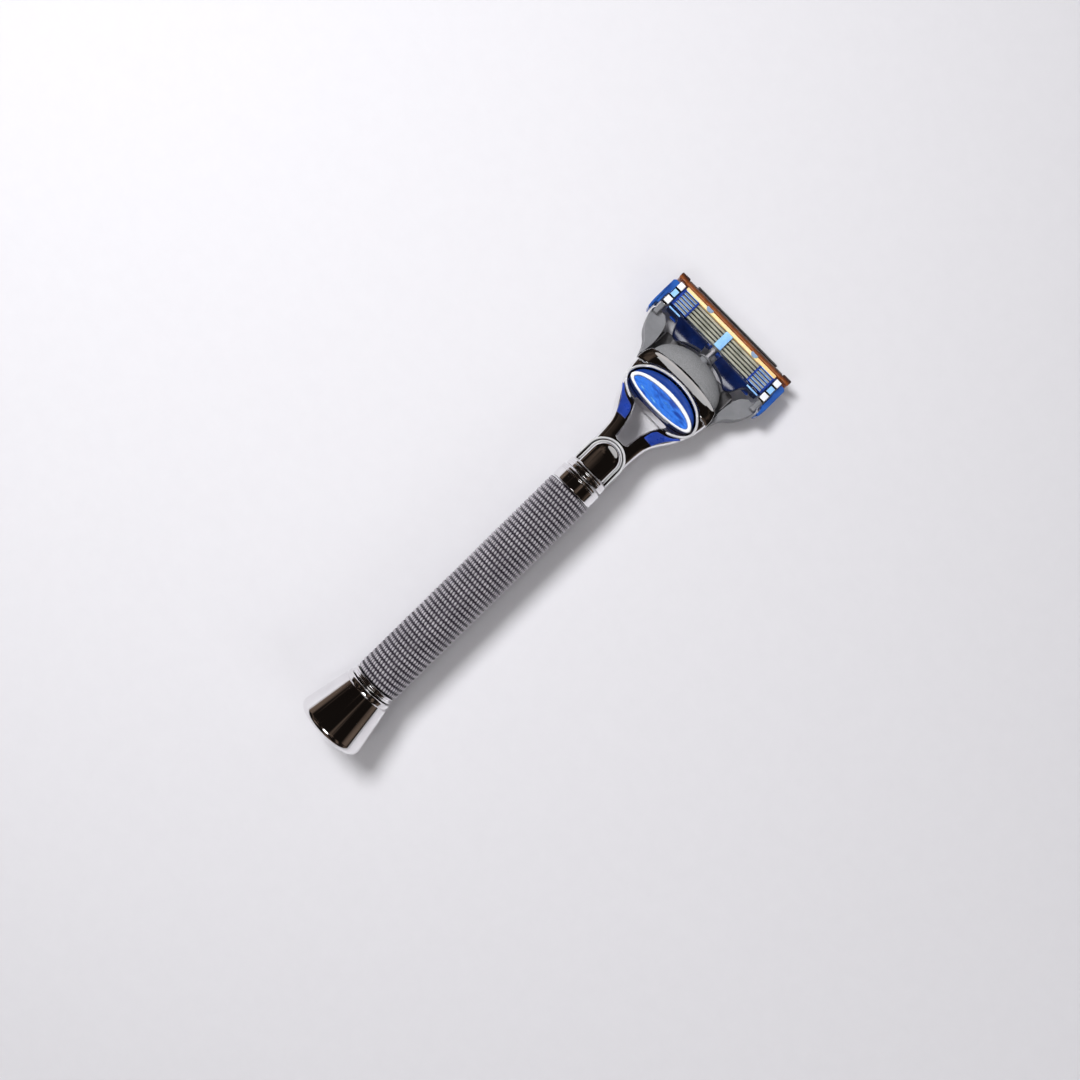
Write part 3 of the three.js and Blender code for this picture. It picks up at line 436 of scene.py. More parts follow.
@dataclass(frozen=True)
class Waxy(Finish):
    """Soft waxy strip, streaked along its length, a little translucent."""

    def look(self, g: Graph) -> Look:
        """Streaks along X over cloudy wax.

        Args:
            g: the material's graph.

        Returns:
            The look over the surface.
        """
        streak = g.noise(300.0, 4.0, g.scaled(0.12, 2.0, 2.0))
        tone = g.blend(g.remap(streak, 0.35, 0.65, 0.0, 1.0), self.shade, self.colour)
        rough = g.remap(streak, 0.3, 0.7, self.roughness * 0.8, self.roughness * 1.2)
        return Look(tone, rough, g.noise(3500.0, 4.0))


@dataclass(frozen=True)
class Ombre(Finish):
    """Glossy plastic that runs from one tone to another towards the head's tip."""

    start_y: float = 152.5
    end_y: float = 153.9

    def look(self, g: Graph) -> Look:
        """Tone by place along the head, broken up by a faint cloud.

        Args:
            g: the material's graph.

        Returns:
            The look over the surface.
        """
        parts = g.node("ShaderNodeSeparateXYZ", {}, {0: g.place})
        y = Socket(g, parts.outputs["Y"])
        along = g.remap(y, self.start_y * MM, self.end_y * MM, 0.0, 1.0)
        cloud = g.remap(g.noise(500.0, 4.0), 0.3, 0.7, -0.12, 0.12)
        tone = g.blend(along + cloud, self.colour, self.shade)
        rough = g.remap(g.noise(900.0, 3.0), 0.3, 0.7, self.roughness * 0.8, self.roughness * 1.3)
        return Look(tone, rough, g.noise(5000.0, 2.0))


class Finishes(Enum):
    """Every finish on the razor."""

    CHROME = Polished("chrome_plate", (0.86, 0.85, 0.86), (0.62, 0.60, 0.62), 0.035, depth=1.5e-7)
    # its second colour is the painted shade between the beads
    KNURL = Satin("knurled_plate", (0.95, 0.91, 0.98), (0.07, 0.06, 0.08), 0.30, depth=2e-6)
    STEEL = Ground("turned_steel", (0.55, 0.56, 0.58), (0.38, 0.38, 0.40), 0.35, depth=2e-6)
    BRASS = Ground("turned_brass", (0.62, 0.43, 0.16), (0.40, 0.27, 0.10), 0.35, depth=2e-6)
    BLADE = Ground("blade_steel", (0.60, 0.60, 0.50), (0.40, 0.41, 0.34), 0.30, 0.35, depth=1e-6)
    # the clips' metal pads in matt white: painted reflection of bright metal
    CLIP = Finish("clip_painted_reflection", (0.90, 0.92, 0.95), (0.80, 0.83, 0.88), 0.25, depth=1e-6, coat=0.5)
    BLACK = Stippled("black_rubber", (0.012, 0.012, 0.014), (0.03, 0.03, 0.032), 0.8, depth=2e-5)
    NAVY = Finish("navy_plastic", (0.014, 0.062, 0.35), (0.008, 0.030, 0.18), 0.30, coat=0.6)
    INLAY = Finish("inlay_blue", (0.016, 0.055, 0.38), (0.009, 0.026, 0.17), 0.28, coat=0.6)
    GUARD = Finish("guard_rubber", (0.003, 0.013, 0.075), (0.002, 0.005, 0.028), 0.16, coat=1.0)
    BLUE = Rippled("rippled_blue", (0.036, 0.185, 0.74), (0.012, 0.055, 0.34), 0.22, depth=6e-5)
    RAIL = Finish("rail_blue", (0.030, 0.14, 0.52), (0.014, 0.06, 0.28), 0.22, coat=0.7)
    # pale blue plastic; on the guard's bars it is a painted highlight
    PALE = Finish("pale_blue", (0.36, 0.66, 1.0), (0.22, 0.45, 0.90), 0.30, coat=0.4)
    WHITE = Finish("white_plastic", (0.93, 0.94, 0.96), (0.86, 0.88, 0.92), 0.22, coat=0.5)
    GREY = Finish("grey_plastic", (0.215, 0.217, 0.232), (0.165, 0.168, 0.18), 0.45)
    # a darker copy of the grey plastic: painted shade on the webs low between the carrier's arms
    WEB = Finish("web_plastic_painted_shade", (0.17, 0.165, 0.172), (0.10, 0.10, 0.105), 0.45)
    DOME = Stippled("grey_elastomer", (0.17, 0.172, 0.18), (0.27, 0.272, 0.282), 0.72, depth=8e-5)
    STRIP = Waxy("lubricating_strip", (1.0, 0.80, 0.46), (0.93, 0.60, 0.24), 0.42, subsurface=0.15)
    ROD = Finish("plunger_grey", (0.66, 0.65, 0.68), (0.48, 0.47, 0.50), 0.30, coat=0.4)
    TAB = Finish("tab_plastic", (0.30, 0.40, 0.55), (0.22, 0.30, 0.45), 0.30, coat=0.4)
    PAPER = Finish("studio_paper", (0.690, 0.683, 0.718), (0.680, 0.673, 0.708), 0.9, depth=1e-6)
    COPPER = Ombre("copper_plastic", (0.42, 0.115, 0.024), (0.030, 0.008, 0.005), 0.25, coat=0.7)
    # a paler, partly matt copy of the chrome: the beads are real, their brightness is a painted
    # highlight
    LINE = Finish("line_painted_highlight", (0.84, 0.84, 0.86), (0.70, 0.70, 0.73), 0.20, metallic=0.35, coat=0.5)
    SMOKE = Finish("smoked_edge", (0.30, 0.28, 0.28), (0.22, 0.20, 0.20), 0.35, coat=0.3)

    def material(self) -> bpy.types.Material:
        """The finish's Blender material."""
        return self.value.material()


# --------------------------------------------------------------------------- outlines
def arc(
    cx: float, cy: float, rx: float, ry: float, start: float, end: float, steps: int
) -> list[Point]:
    """Points on an ellipse from one angle to another.

    Args:
        cx: the centre's place across.
        cy: the centre's place along.
        rx: half the width.
        ry: half the length.
        start: first angle, in degrees.
        end: last angle, in degrees.
        steps: pieces between them.

    Returns:
        The points, both ends included.
    """
    points = []
    for i in range(steps + 1):
        a = math.radians(start + (end - start) * i / steps)
        points.append((cx + rx * math.cos(a), cy + ry * math.sin(a)))
    return points


def smooth(points: Sequence[Point], steps: int = 8) -> list[Point]:
    """A smooth curve through the given points.

    Args:
        points: the points that the curve passes.
        steps: pieces between two points.

    Returns:
        The curve's points, both ends included.
    """
    ends = [points[0], *points, points[-1]]
    curve = []
    for p0, p1, p2, p3 in zip(ends, ends[1:], ends[2:], ends[3:]):
        for i in range(steps):
            t = i / steps
            curve.append(tuple(_spline(a, b, c, d, t) for a, b, c, d in zip(p0, p1, p2, p3)))
    return [*curve, points[-1]]


def _spline(a: float, b: float, c: float, d: float, t: float) -> float:
    """One coordinate of a smooth curve between b and c."""
    return 0.5 * (
        2 * b + (c - a) * t + (2 * a - 5 * b + 4 * c - d) * t**2 + (3 * b - a - 3 * c + d) * t**3
    )


def oval(
    half: float, start: float, widest: float, end: float, grow: float = 0.0, steps: int = 32
) -> list[Point]:
    """A closed oval whose two halves have different depths.

    Args:
        half: half its width.
        start: where it starts along the head.
        widest: where it is widest.
        end: where it ends.
        grow: how much it is grown all round.
        steps: pieces in each half.

    Returns:
        Its points, from the right end round.
    """
    upper = arc(0, widest, half + grow, end - widest + grow, 0, 180, steps)
    lower = arc(0, widest, half + grow, widest - start + grow, 180, 360, steps)
    return upper[:-1] + lower[:-1]


def both(right: Sequence[Point]) -> list[Point]:
    """A closed outline from its right half, which runs from back to front."""
    left = [(-x, y) for x, y in reversed(right) if abs(x) > TINY]
    return list(right) + left


# --------------------------------------------------------------------------- solids
class Solid:
    """A bmesh in millimetres with the moves that the razor's pieces need."""

    def __init__(self) -> None:
        """Starts empty."""
        self.bm = bmesh.new()

    def slab(self, outline: Sequence[Point], z0: float, z1: float) -> bmesh.types.BMFace:
        """A flat plate between two heights.

        Args:
            outline: the plate's corners in order.
            z0: height of its underside.
            z1: height of its top.

        Returns:
            The top face.
        """
        corners = [self.bm.verts.new((x, y, z0)) for x, y in outline]
        base = self.bm.faces.new(corners)
        made = bmesh.ops.extrude_face_region(self.bm, geom=[base])["geom"]
        top = [g for g in made if isinstance(g, bmesh.types.BMFace)][0]
        bmesh.ops.translate(self.bm, vec=(0, 0, z1 - z0), verts=top.verts[:])
        return top

    def crown(
        self, top: bmesh.types.BMFace, centre: Point, keep: float, rise: float, steps: int = 10
    ) -> None:
        """Rounds a top face up into a dome.

        Args:
            top: the face to raise.
            centre: the dome's middle, in x and y.
            keep: share of the outline left flat on top.
            rise: the dome's height.
            steps: rings from edge to top.
        """
        width, height = 1.0, 0.0
        for i in range(1, steps + 1):
            a = math.radians(90 * i / steps)
            new_width = 1.0 - (1.0 - keep) * (1.0 - math.cos(a))
            new_height = rise * math.sin(a)
            bmesh.ops.inset_region(self.bm, faces=[top], thickness=0.0)
            space = Matrix.Translation((-centre[0], -centre[1], 0.0))
            factor = new_width / width
            bmesh.ops.scale(self.bm, vec=(factor, factor, 1.0), space=space, verts=top.verts[:])
            bmesh.ops.translate(self.bm, vec=(0, 0, new_height - height), verts=top.verts[:])
            width, height = new_width, new_height

    def stack(self, levels: Sequence[Level]) -> None:
        """A closed solid through outlines at rising heights.

        Args:
            levels: the outlines, all with the same number of points.
        """
        rings, count = [], len(levels[0][0])
        for outline, height in levels:
            corners = [self.bm.verts.new((x, y, height)) for x, y in outline]
            rings.append([self.bm.edges.new((corners[i - 1], corners[i])) for i in range(count)])
        for a, b in zip(rings, rings[1:]):
            bmesh.ops.bridge_loops(self.bm, edges=a + b)
        for ring in (rings[0], rings[-1]):
            bmesh.ops.contextual_create(self.bm, geom=ring)

    def sliced(self, start: float, pitch: float, count: int) -> None:
        """Cuts every face along rows across the head, so that it can be bent afterwards.

        Args:
            start: place of the first row along the head.
            pitch: distance between rows.
            count: number of rows.
        """
        for i in range(count):
            everything = self.bm.verts[:] + self.bm.edges[:] + self.bm.faces[:]
            row = (0, start + i * pitch, 0)
            bmesh.ops.bisect_plane(self.bm, geom=everything, plane_co=row, plane_no=(0, 1, 0))

    def softened(self, top: bmesh.types.BMFace, radius: float) -> None:
        """Rounds the edge of a top face whose outline also turns inwards."""
        self.bevel(top.edges, radius, 4)

    def rounded(self, top: bmesh.types.BMFace, radius: float, steps: int = 4) -> None:
        """Rounds the edge of a top face by a radius.

        Args:
            top: the face whose edge is rounded.
            radius: the rounding's radius.
            steps: facets across the rounding.
        """
        inset, drop = 0.0, radius
        bmesh.ops.translate(self.bm, vec=(0, 0, -radius), verts=top.verts[:])
        for i in range(1, steps + 1):
            a = math.radians(90 * i / steps)
            in_now = radius * (1 - math.cos(a))
            drop_now = radius * (1 - math.sin(a))
            bmesh.ops.inset_region(
                self.bm, faces=[top], thickness=in_now - inset, use_even_offset=True
            )
            bmesh.ops.translate(self.bm, vec=(0, 0, drop - drop_now), verts=top.verts[:])
            inset, drop = in_now, drop_now

    def block(
        self, low: Sequence[float], high: Sequence[float], edge: float = 0.0
    ) -> list[bmesh.types.BMVert]:
        """A block between two corners, its edges rounded.

        Args:
            low: the lowest corner.
            high: the highest corner.
            edge: the rounding's radius.

        Returns:
            The block's vertices.
        """
        before = set(self.bm.verts)
        size = [b - a for a, b in zip(low, high)]
        middle = [(a + b) / 2 for a, b in zip(low, high)]
        matrix = Matrix.Translation(middle) @ Matrix.Diagonal((*size, 1.0))
        made = bmesh.ops.create_cube(self.bm, size=1.0, matrix=matrix)["verts"]
        if edge:
            self.bevel({e for v in made for e in v.link_edges}, edge, 3)
        return [v for v in self.bm.verts if v not in before]

    def bevel(self, edges: Iterable[bmesh.types.BMEdge], radius: float, segments: int) -> None:
        """Rounds the given edges."""
        bmesh.ops.bevel(
            self.bm,
            geom=list(edges),
            offset=radius,
            segments=segments,
            profile=0.5,
            affect="EDGES",
            material=-1,
            clamp_overlap=True,
        )

    def turned(
        self, profile: Sequence[Point], steps: int = 128, axis_z: float = 0.0
    ) -> list[bmesh.types.BMVert]:
        """Spins a (radius, y) profile round a line along Y at a height.

        Args:
            profile: the section; it starts and ends on the axis or closes on itself.
            steps: facets round the piece.
            axis_z: height of the line.

        Returns:
            The new vertices.
        """
        before = set(self.bm.verts)
        closed = profile[0] == profile[-1]
        points = profile[:-1] if closed else profile
        line = [self.bm.verts.new((r, y, axis_z)) for r, y in points]
        pairs = list(zip(line, line[1:])) + ([(line[-1], line[0])] if closed else [])
        edges = [self.bm.edges.new(pair) for pair in pairs]
        bmesh.ops.spin(
            self.bm,
            geom=line + edges,
            cent=(0, 0, axis_z),
            axis=(0, 1, 0),
            angle=2 * math.pi,
            steps=steps,
            use_merge=True,
        )
        new = [v for v in self.bm.verts if v not in before]
        bmesh.ops.remove_doubles(self.bm, verts=new, dist=MERGE)
        return [v for v in self.bm.verts if v not in before]

    def tube(self, path: Sequence[Sequence[float]], radius: float, sides: int = 10) -> None:
        """A round bar along a path in one XY plane, its ends drawn in.

        Args:
            path: the points it follows.
            radius: the bar's radius.
            sides: facets round it.
        """
        rings = []
        points = [Vector(p) for p in path]
        for i, point in enumerate(points):
            ahead = points[min(i + 1, len(points) - 1)] - points[max(i - 1, 0)]
            turn = ahead.to_track_quat("Z", "Y").to_matrix().to_4x4()
            size = radius * (0.45 if i in (0, len(points) - 1) else 1.0)
            made = bmesh.ops.create_circle(
                self.bm, cap_ends=False, radius=size, segments=sides,
                matrix=Matrix.Translation(point) @ turn,
            )["verts"]
            rings.append({e for v in made for e in v.link_edges})
            if i in (0, len(points) - 1):
                bmesh.ops.contextual_create(self.bm, geom=made)
        for a, b in zip(rings, rings[1:]):
            bmesh.ops.bridge_loops(self.bm, edges=list(a | b))

    def mirrored(self) -> None:
        """Adds the mirror image across the middle plane."""
        geom = self.bm.verts[:] + self.bm.edges[:] + self.bm.faces[:]
        bmesh.ops.mirror(self.bm, geom=geom, axis="X", merge_dist=MERGE)


class Place(Enum):
    """The two frames that pieces are modelled in."""

    HANDLE = "handle"
    HEAD = "head"

    def matrix(self) -> Matrix:
        """Millimetres in this frame to metres in the row's frame."""
        scale = Matrix.Scale(MM, 4)
        if self is Place.HANDLE:
            return scale
        ahead = next(j for j in frame["joints"] if j["name"] == "cartridge_release")["axis"]
        lean = math.atan2(ahead[2], ahead[1])
        neck = Matrix.Translation((0.0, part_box("neck_band")[1][1], 0.0))
        return neck @ Matrix.Rotation(lean, 4, "X") @ scale


@dataclass(frozen=True)
class Tag:
    """Who a piece is: its name, the body it rides, its slot and the CAD nodes it stands for."""

    name: str
    body: str
    slot: str
    nodes: tuple[str, ...] = ()


def publish(
    solid: Solid, tag: Tag, finish: Finishes, place: Place, crease: float = 40.0
) -> bpy.types.Object:
    """Turns a solid into a finished piece of the scene.

    Args:
        solid: the shape, in millimetres.
        tag: the piece's name, body, slot and nodes.
        finish: what it is made of.
        place: the frame that it was modelled in.
        crease: edges sharper than this angle, in degrees, stay sharp.

    Returns:
        The new object.
    """
    bm = solid.bm
    bmesh.ops.recalc_face_normals(bm, faces=bm.faces[:])
    bmesh.ops.transform(bm, matrix=place.matrix(), verts=bm.verts[:])
    mesh = bpy.data.meshes.new(tag.name)
    for face in bm.faces:
        face.smooth = True
    bm.to_mesh(mesh)
    bm.free()
    mesh.set_sharp_from_angle(angle=math.radians(crease))
    mesh.materials.append(finish.material())
    piece = bpy.data.objects.new(tag.name, mesh)
    bpy.context.scene.collection.objects.link(piece)
    weighted = piece.modifiers.new("even_shading", "WEIGHTED_NORMAL")
    weighted.weight = 100
    weighted.keep_sharp = True
    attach(piece, tag.body)
    if tag.nodes:
        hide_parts(*tag.nodes)
    LOG.info("%s: %d faces on %s", tag.name, len(mesh.polygons), tag.body)
    return piece


def cutter(levels: Sequence[Level]) -> bpy.types.Object:
    """Makes a helper solid, in the head's frame, that is taken out of a piece.

    Args:
        levels: its outlines at rising heights.

    Returns:
        The helper object.
    """
    solid = Solid()
    solid.stack(levels)
    bmesh.ops.recalc_face_normals(solid.bm, faces=solid.bm.faces[:])
    bmesh.ops.transform(solid.bm, matrix=Place.HEAD.matrix(), verts=solid.bm.verts[:])
    mesh = bpy.data.meshes.new("cutter")
    solid.bm.to_mesh(mesh)
    solid.bm.free()
    helper = bpy.data.objects.new("cutter", mesh)
    bpy.context.scene.collection.objects.link(helper)
    return helper


def cut(piece: bpy.types.Object, cutters: Sequence[bpy.types.Object], crease: float = 35.0) -> None:
    """Takes helper solids out of a piece for good and drops them.

    Args:
        piece: the published piece.
        cutters: the helper solids.
        crease: edges sharper than this angle, in degrees, stay sharp.
    """
    for helper in cutters:
        change = piece.modifiers.new("cut", "BOOLEAN")
        change.operation = "DIFFERENCE"
        change.object = helper
        change.solver = "EXACT"
    piece.modifiers.remove(piece.modifiers["even_shading"])
    depth = bpy.context.evaluated_depsgraph_get()
    mesh = bpy.data.meshes.new_from_object(piece.evaluated_get(depth))
    piece.modifiers.clear()
    piece.data = mesh
    mesh.set_sharp_from_angle(angle=math.radians(crease))
    for helper in cutters:
        bpy.data.objects.remove(helper)


# --------------------------------------------------------------------------- handle
@dataclass
class Handle:
    """Foot, neck ring, beaded grip, collar and upper band, all turned about the Y axis."""

    body: str = "handle"
    foot_radius: float = 10.15
    foot_top_radius: float = 7.3
    foot_corner: float = 2.0
    foot_start: float = 0.3
    foot_end: float = 16.7
    foot_flat: float = 6.9
    foot_socket: float = 6.0
    rim: float = 0.55
    rim_length: float = 1.7
    rim_step: float = 0.25
    rim_groove: tuple[float, float] = (0.12, 0.22)
    ring_radius: float = 6.8
    ring_waist: float = 6.3
    ring_start: float = 17.0
    ring_end: float = 18.6
    ring_lip: float = 0.2
    ring_step: tuple[float, float] = (0.08, 0.35)
    ring_bore: float = 2.9
    spigot: tuple[float, float] = (4.6, 3.0)
    grip_start: float = 18.9
    grip_end: float = 90.9
    core_radius: float = 6.3
    grip_bore: float = 5.25
    bead_rows: int = 47
    beads_round: int = 46
    bead_size: tuple[float, float, float] = (0.38, 0.66, 0.40)
    bead_lean: float = 14.0
    bead_cut: float = 0.45
    bead_centre: float = 6.43
    groove_depth: float = 0.12
    crest_share: float = 0.22
    collar_radius: float = 6.7
    collar_start: float = 91.2
    collar_end: float = 95.6
    collar_edge: float = 0.35
    band_radius: float = 6.35
    band_start: float = 95.9
    band_end: float = 98.2
    band_edge: float = 0.3
    sleeve_bore: float = 3.1
    sleeve_step: float = 0.02
    sleeve_groove: float = 0.09
    sleeve_lip: float = 0.22
    sleeve_slope: float = 0.3
    bead_drop: float = 0.75
    line_bead: tuple[float, float] = (0.1, 0.2)
    bore: float = 4.9

    def build(self) -> list[bpy.types.Object]:
        """Makes every piece of the handle."""
        return [self.foot(), self.ring(), self.grip(), self.collar(), self.band()]

    def foot(self) -> bpy.types.Object:
        """The flared foot: a straight cone with a rounded base and a bright rim at its top."""
        y0, y1, corner, top = self.foot_start, self.foot_end, self.foot_corner, self.foot_top_radius
        depth, rise = self.rim_groove
        shoulder, seat = y1 - self.rim_length, y1 - self.foot_socket
        profile = [(0.0, y0), (self.foot_flat, y0)]
        profile += arc(self.foot_radius - corner, y0 + corner, corner, corner, -90, 8, 12)
        profile += [(top + self.rim_step, shoulder), (top - depth, shoulder + rise)]
        profile += arc(top - self.rim, y1 - self.rim, self.rim, self.rim, 0, 90, 6)
        profile += [(self.bore, y1), (self.bore, seat), (0.0, seat)]
        solid = Solid()
        solid.turned(profile, 192)
        tag = Tag("foot_shell", self.body, "chrome_plate", ("foot",))
        return publish(solid, tag, Finishes.CHROME, Place.HANDLE, 30)

    def ring(self) -> bpy.types.Object:
        """The waisted neck ring with its spigot into the grip."""
        r, lip, bore = self.ring_radius, self.ring_lip, self.ring_bore
        y0, y1, middle = self.ring_start, self.ring_end, (self.ring_start + self.ring_end) / 2
        step_in, step_up = self.ring_step
        spigot_radius, spigot_end = self.spigot[0], y1 + self.spigot[1]
        waist = [(r - step_in, y0 + step_up), (self.ring_waist, middle), (r - step_in, y1 - step_up)]
        profile = [(bore, y0), (r - lip, y0)]
        profile += arc(r - lip, y0 + lip, lip, lip, -60, 0, 3)
        profile += smooth(waist, 6)
        profile += arc(r - lip, y1 - lip, lip, lip, 0, 90, 4)
        profile += [(spigot_radius, y1), (spigot_radius, spigot_end), (bore, spigot_end), (bore, y0)]
        solid = Solid()
        solid.turned(profile, 160)
        tag = Tag("neck_ring_shell", self.body, "chrome_plate", ("neck_ring",))
        return publish(solid, tag, Finishes.CHROME, Place.HANDLE, 35)

    def grip(self) -> bpy.types.Object:
        """The grip's tube with rings of leaning beads set into it, with painted shade between them."""
        solid = Solid()
        y0, y1, r = self.grip_start, self.grip_end, self.core_radius
        step = (y1 - y0) / self.bead_rows
        groove, slope = self.groove_depth, step * self.crest_share
        profile = [(self.grip_bore, y0)]
        for i in range(self.bead_rows + 1):
            y = y0 + i * step
            if i:
                profile += [(r, y - slope), (r - groove, y - groove / 2)]
            if i < self.bead_rows:
                profile += [(r - groove, y + groove / 2), (r, y + slope)]
        profile += [(self.grip_bore, y1), (self.grip_bore, y0)]
        solid.turned(profile, 96)
        self._beads(solid, step)
        tag = Tag("grip_beads", self.body, "knurled_steel", ("grip_sleeve",))
        return publish(solid, tag, Finishes.KNURL, Place.HANDLE, 50)

    def _beads(self, solid: Solid, step: float) -> None:
        """Sets the beads round the tube.

        Args:
            solid: the grip that they are added to.
            step: distance from one ring of beads to the next.
        """
        source = bmesh.new()
        bmesh.ops.create_icosphere(source, subdivisions=2, radius=1.0)
        radial, along, across = self.bead_size
        shape = Matrix.Diagonal((radial, along, across, 1.0))
        bmesh.ops.transform(source, matrix=shape, verts=source.verts[:])
        under = [v for v in source.verts if v.co.x < -self.bead_cut * radial]
        bmesh.ops.delete(source, geom=under, context="VERTS")
        rim = [e for e in source.edges if len(e.link_faces) == 1]
        bmesh.ops.contextual_create(source, geom=rim)
        mesh = bpy.data.meshes.new("bead")
        source.to_mesh(mesh)
        source.free()
        lean = Matrix.Rotation(math.radians(self.bead_lean), 4, "X")
        for row in range(self.bead_rows):
            y = self.grip_start + (row + 0.5) * step
            for k in range(self.beads_round):
                angle = 2 * math.pi * (k + (0.5 if row % 2 else 0.0)) / self.beads_round
                spot = Matrix.Rotation(angle, 4, "Y") @ Matrix.Translation((self.bead_centre, y, 0))
                self._add(solid.bm, mesh, spot @ lean)
        bpy.data.meshes.remove(mesh)

    @staticmethod
    def _add(bm: bmesh.types.BMesh, mesh: bpy.types.Mesh, matrix: Matrix) -> None:
        """Adds a copy of a small mesh at a place.

        Args:
            bm: the shape that takes the copy.
            mesh: the small mesh.
            matrix: where the copy goes.
        """
        mesh.transform(matrix)
        bm.from_mesh(mesh)
        mesh.transform(matrix.inverted())

    def collar(self) -> bpy.types.Object:
        """The collar above the grip, with a fine bead near its top."""
        tag = Tag("collar_shell", self.body, "chrome_plate", ("collar",))
        span = (self.collar_start, self.collar_end)
        return self._sleeve(tag, self.collar_radius, span, self.collar_edge)

    def band(self) -> bpy.types.Object:
        """The smaller band that ends the handle."""
        tag = Tag("neck_band_shell", self.body, "chrome_plate", ("neck_band",))
        span = (self.band_start, self.band_end)
        return self._sleeve(tag, self.band_radius, span, self.band_edge)

    def _sleeve(self, tag: Tag, radius: float, span: Point, edge: float) -> bpy.types.Object:
        """A plated sleeve with rounded ends and a bead between two grooves near its top.

        Args:
            tag: who the piece is.
            radius: outer radius.
            span: where it starts and ends along the handle.
            edge: the rounding of its ends.

        Returns:
            The sleeve.
        """
        start, end = span
        top = radius - self.sleeve_step
        groove, lip, slope = radius - self.sleeve_groove, self.sleeve_lip, self.sleeve_slope
        bead, thick, length = end - edge - self.bead_drop, self.line_bead[0], self.line_bead[1]
        profile = [(self.sleeve_bore, start)]
        profile += arc(radius - edge, start + edge, edge, edge, -90, 0, 5)
        profile += [(radius, bead - slope), (groove, bead - lip)]
        profile += arc(radius - thick, bead, thick, length, -80, 80, 6)
        profile += [(groove, bead + lip), (top, bead + slope)]
        profile += arc(top - edge, end - edge, edge, edge, 0, 90, 5)
        profile += [(self.sleeve_bore, end), (self.sleeve_bore, start)]
        solid = Solid()
        solid.turned(profile, 160)
        return publish(solid, tag, Finishes.CHROME, Place.HANDLE, 35)


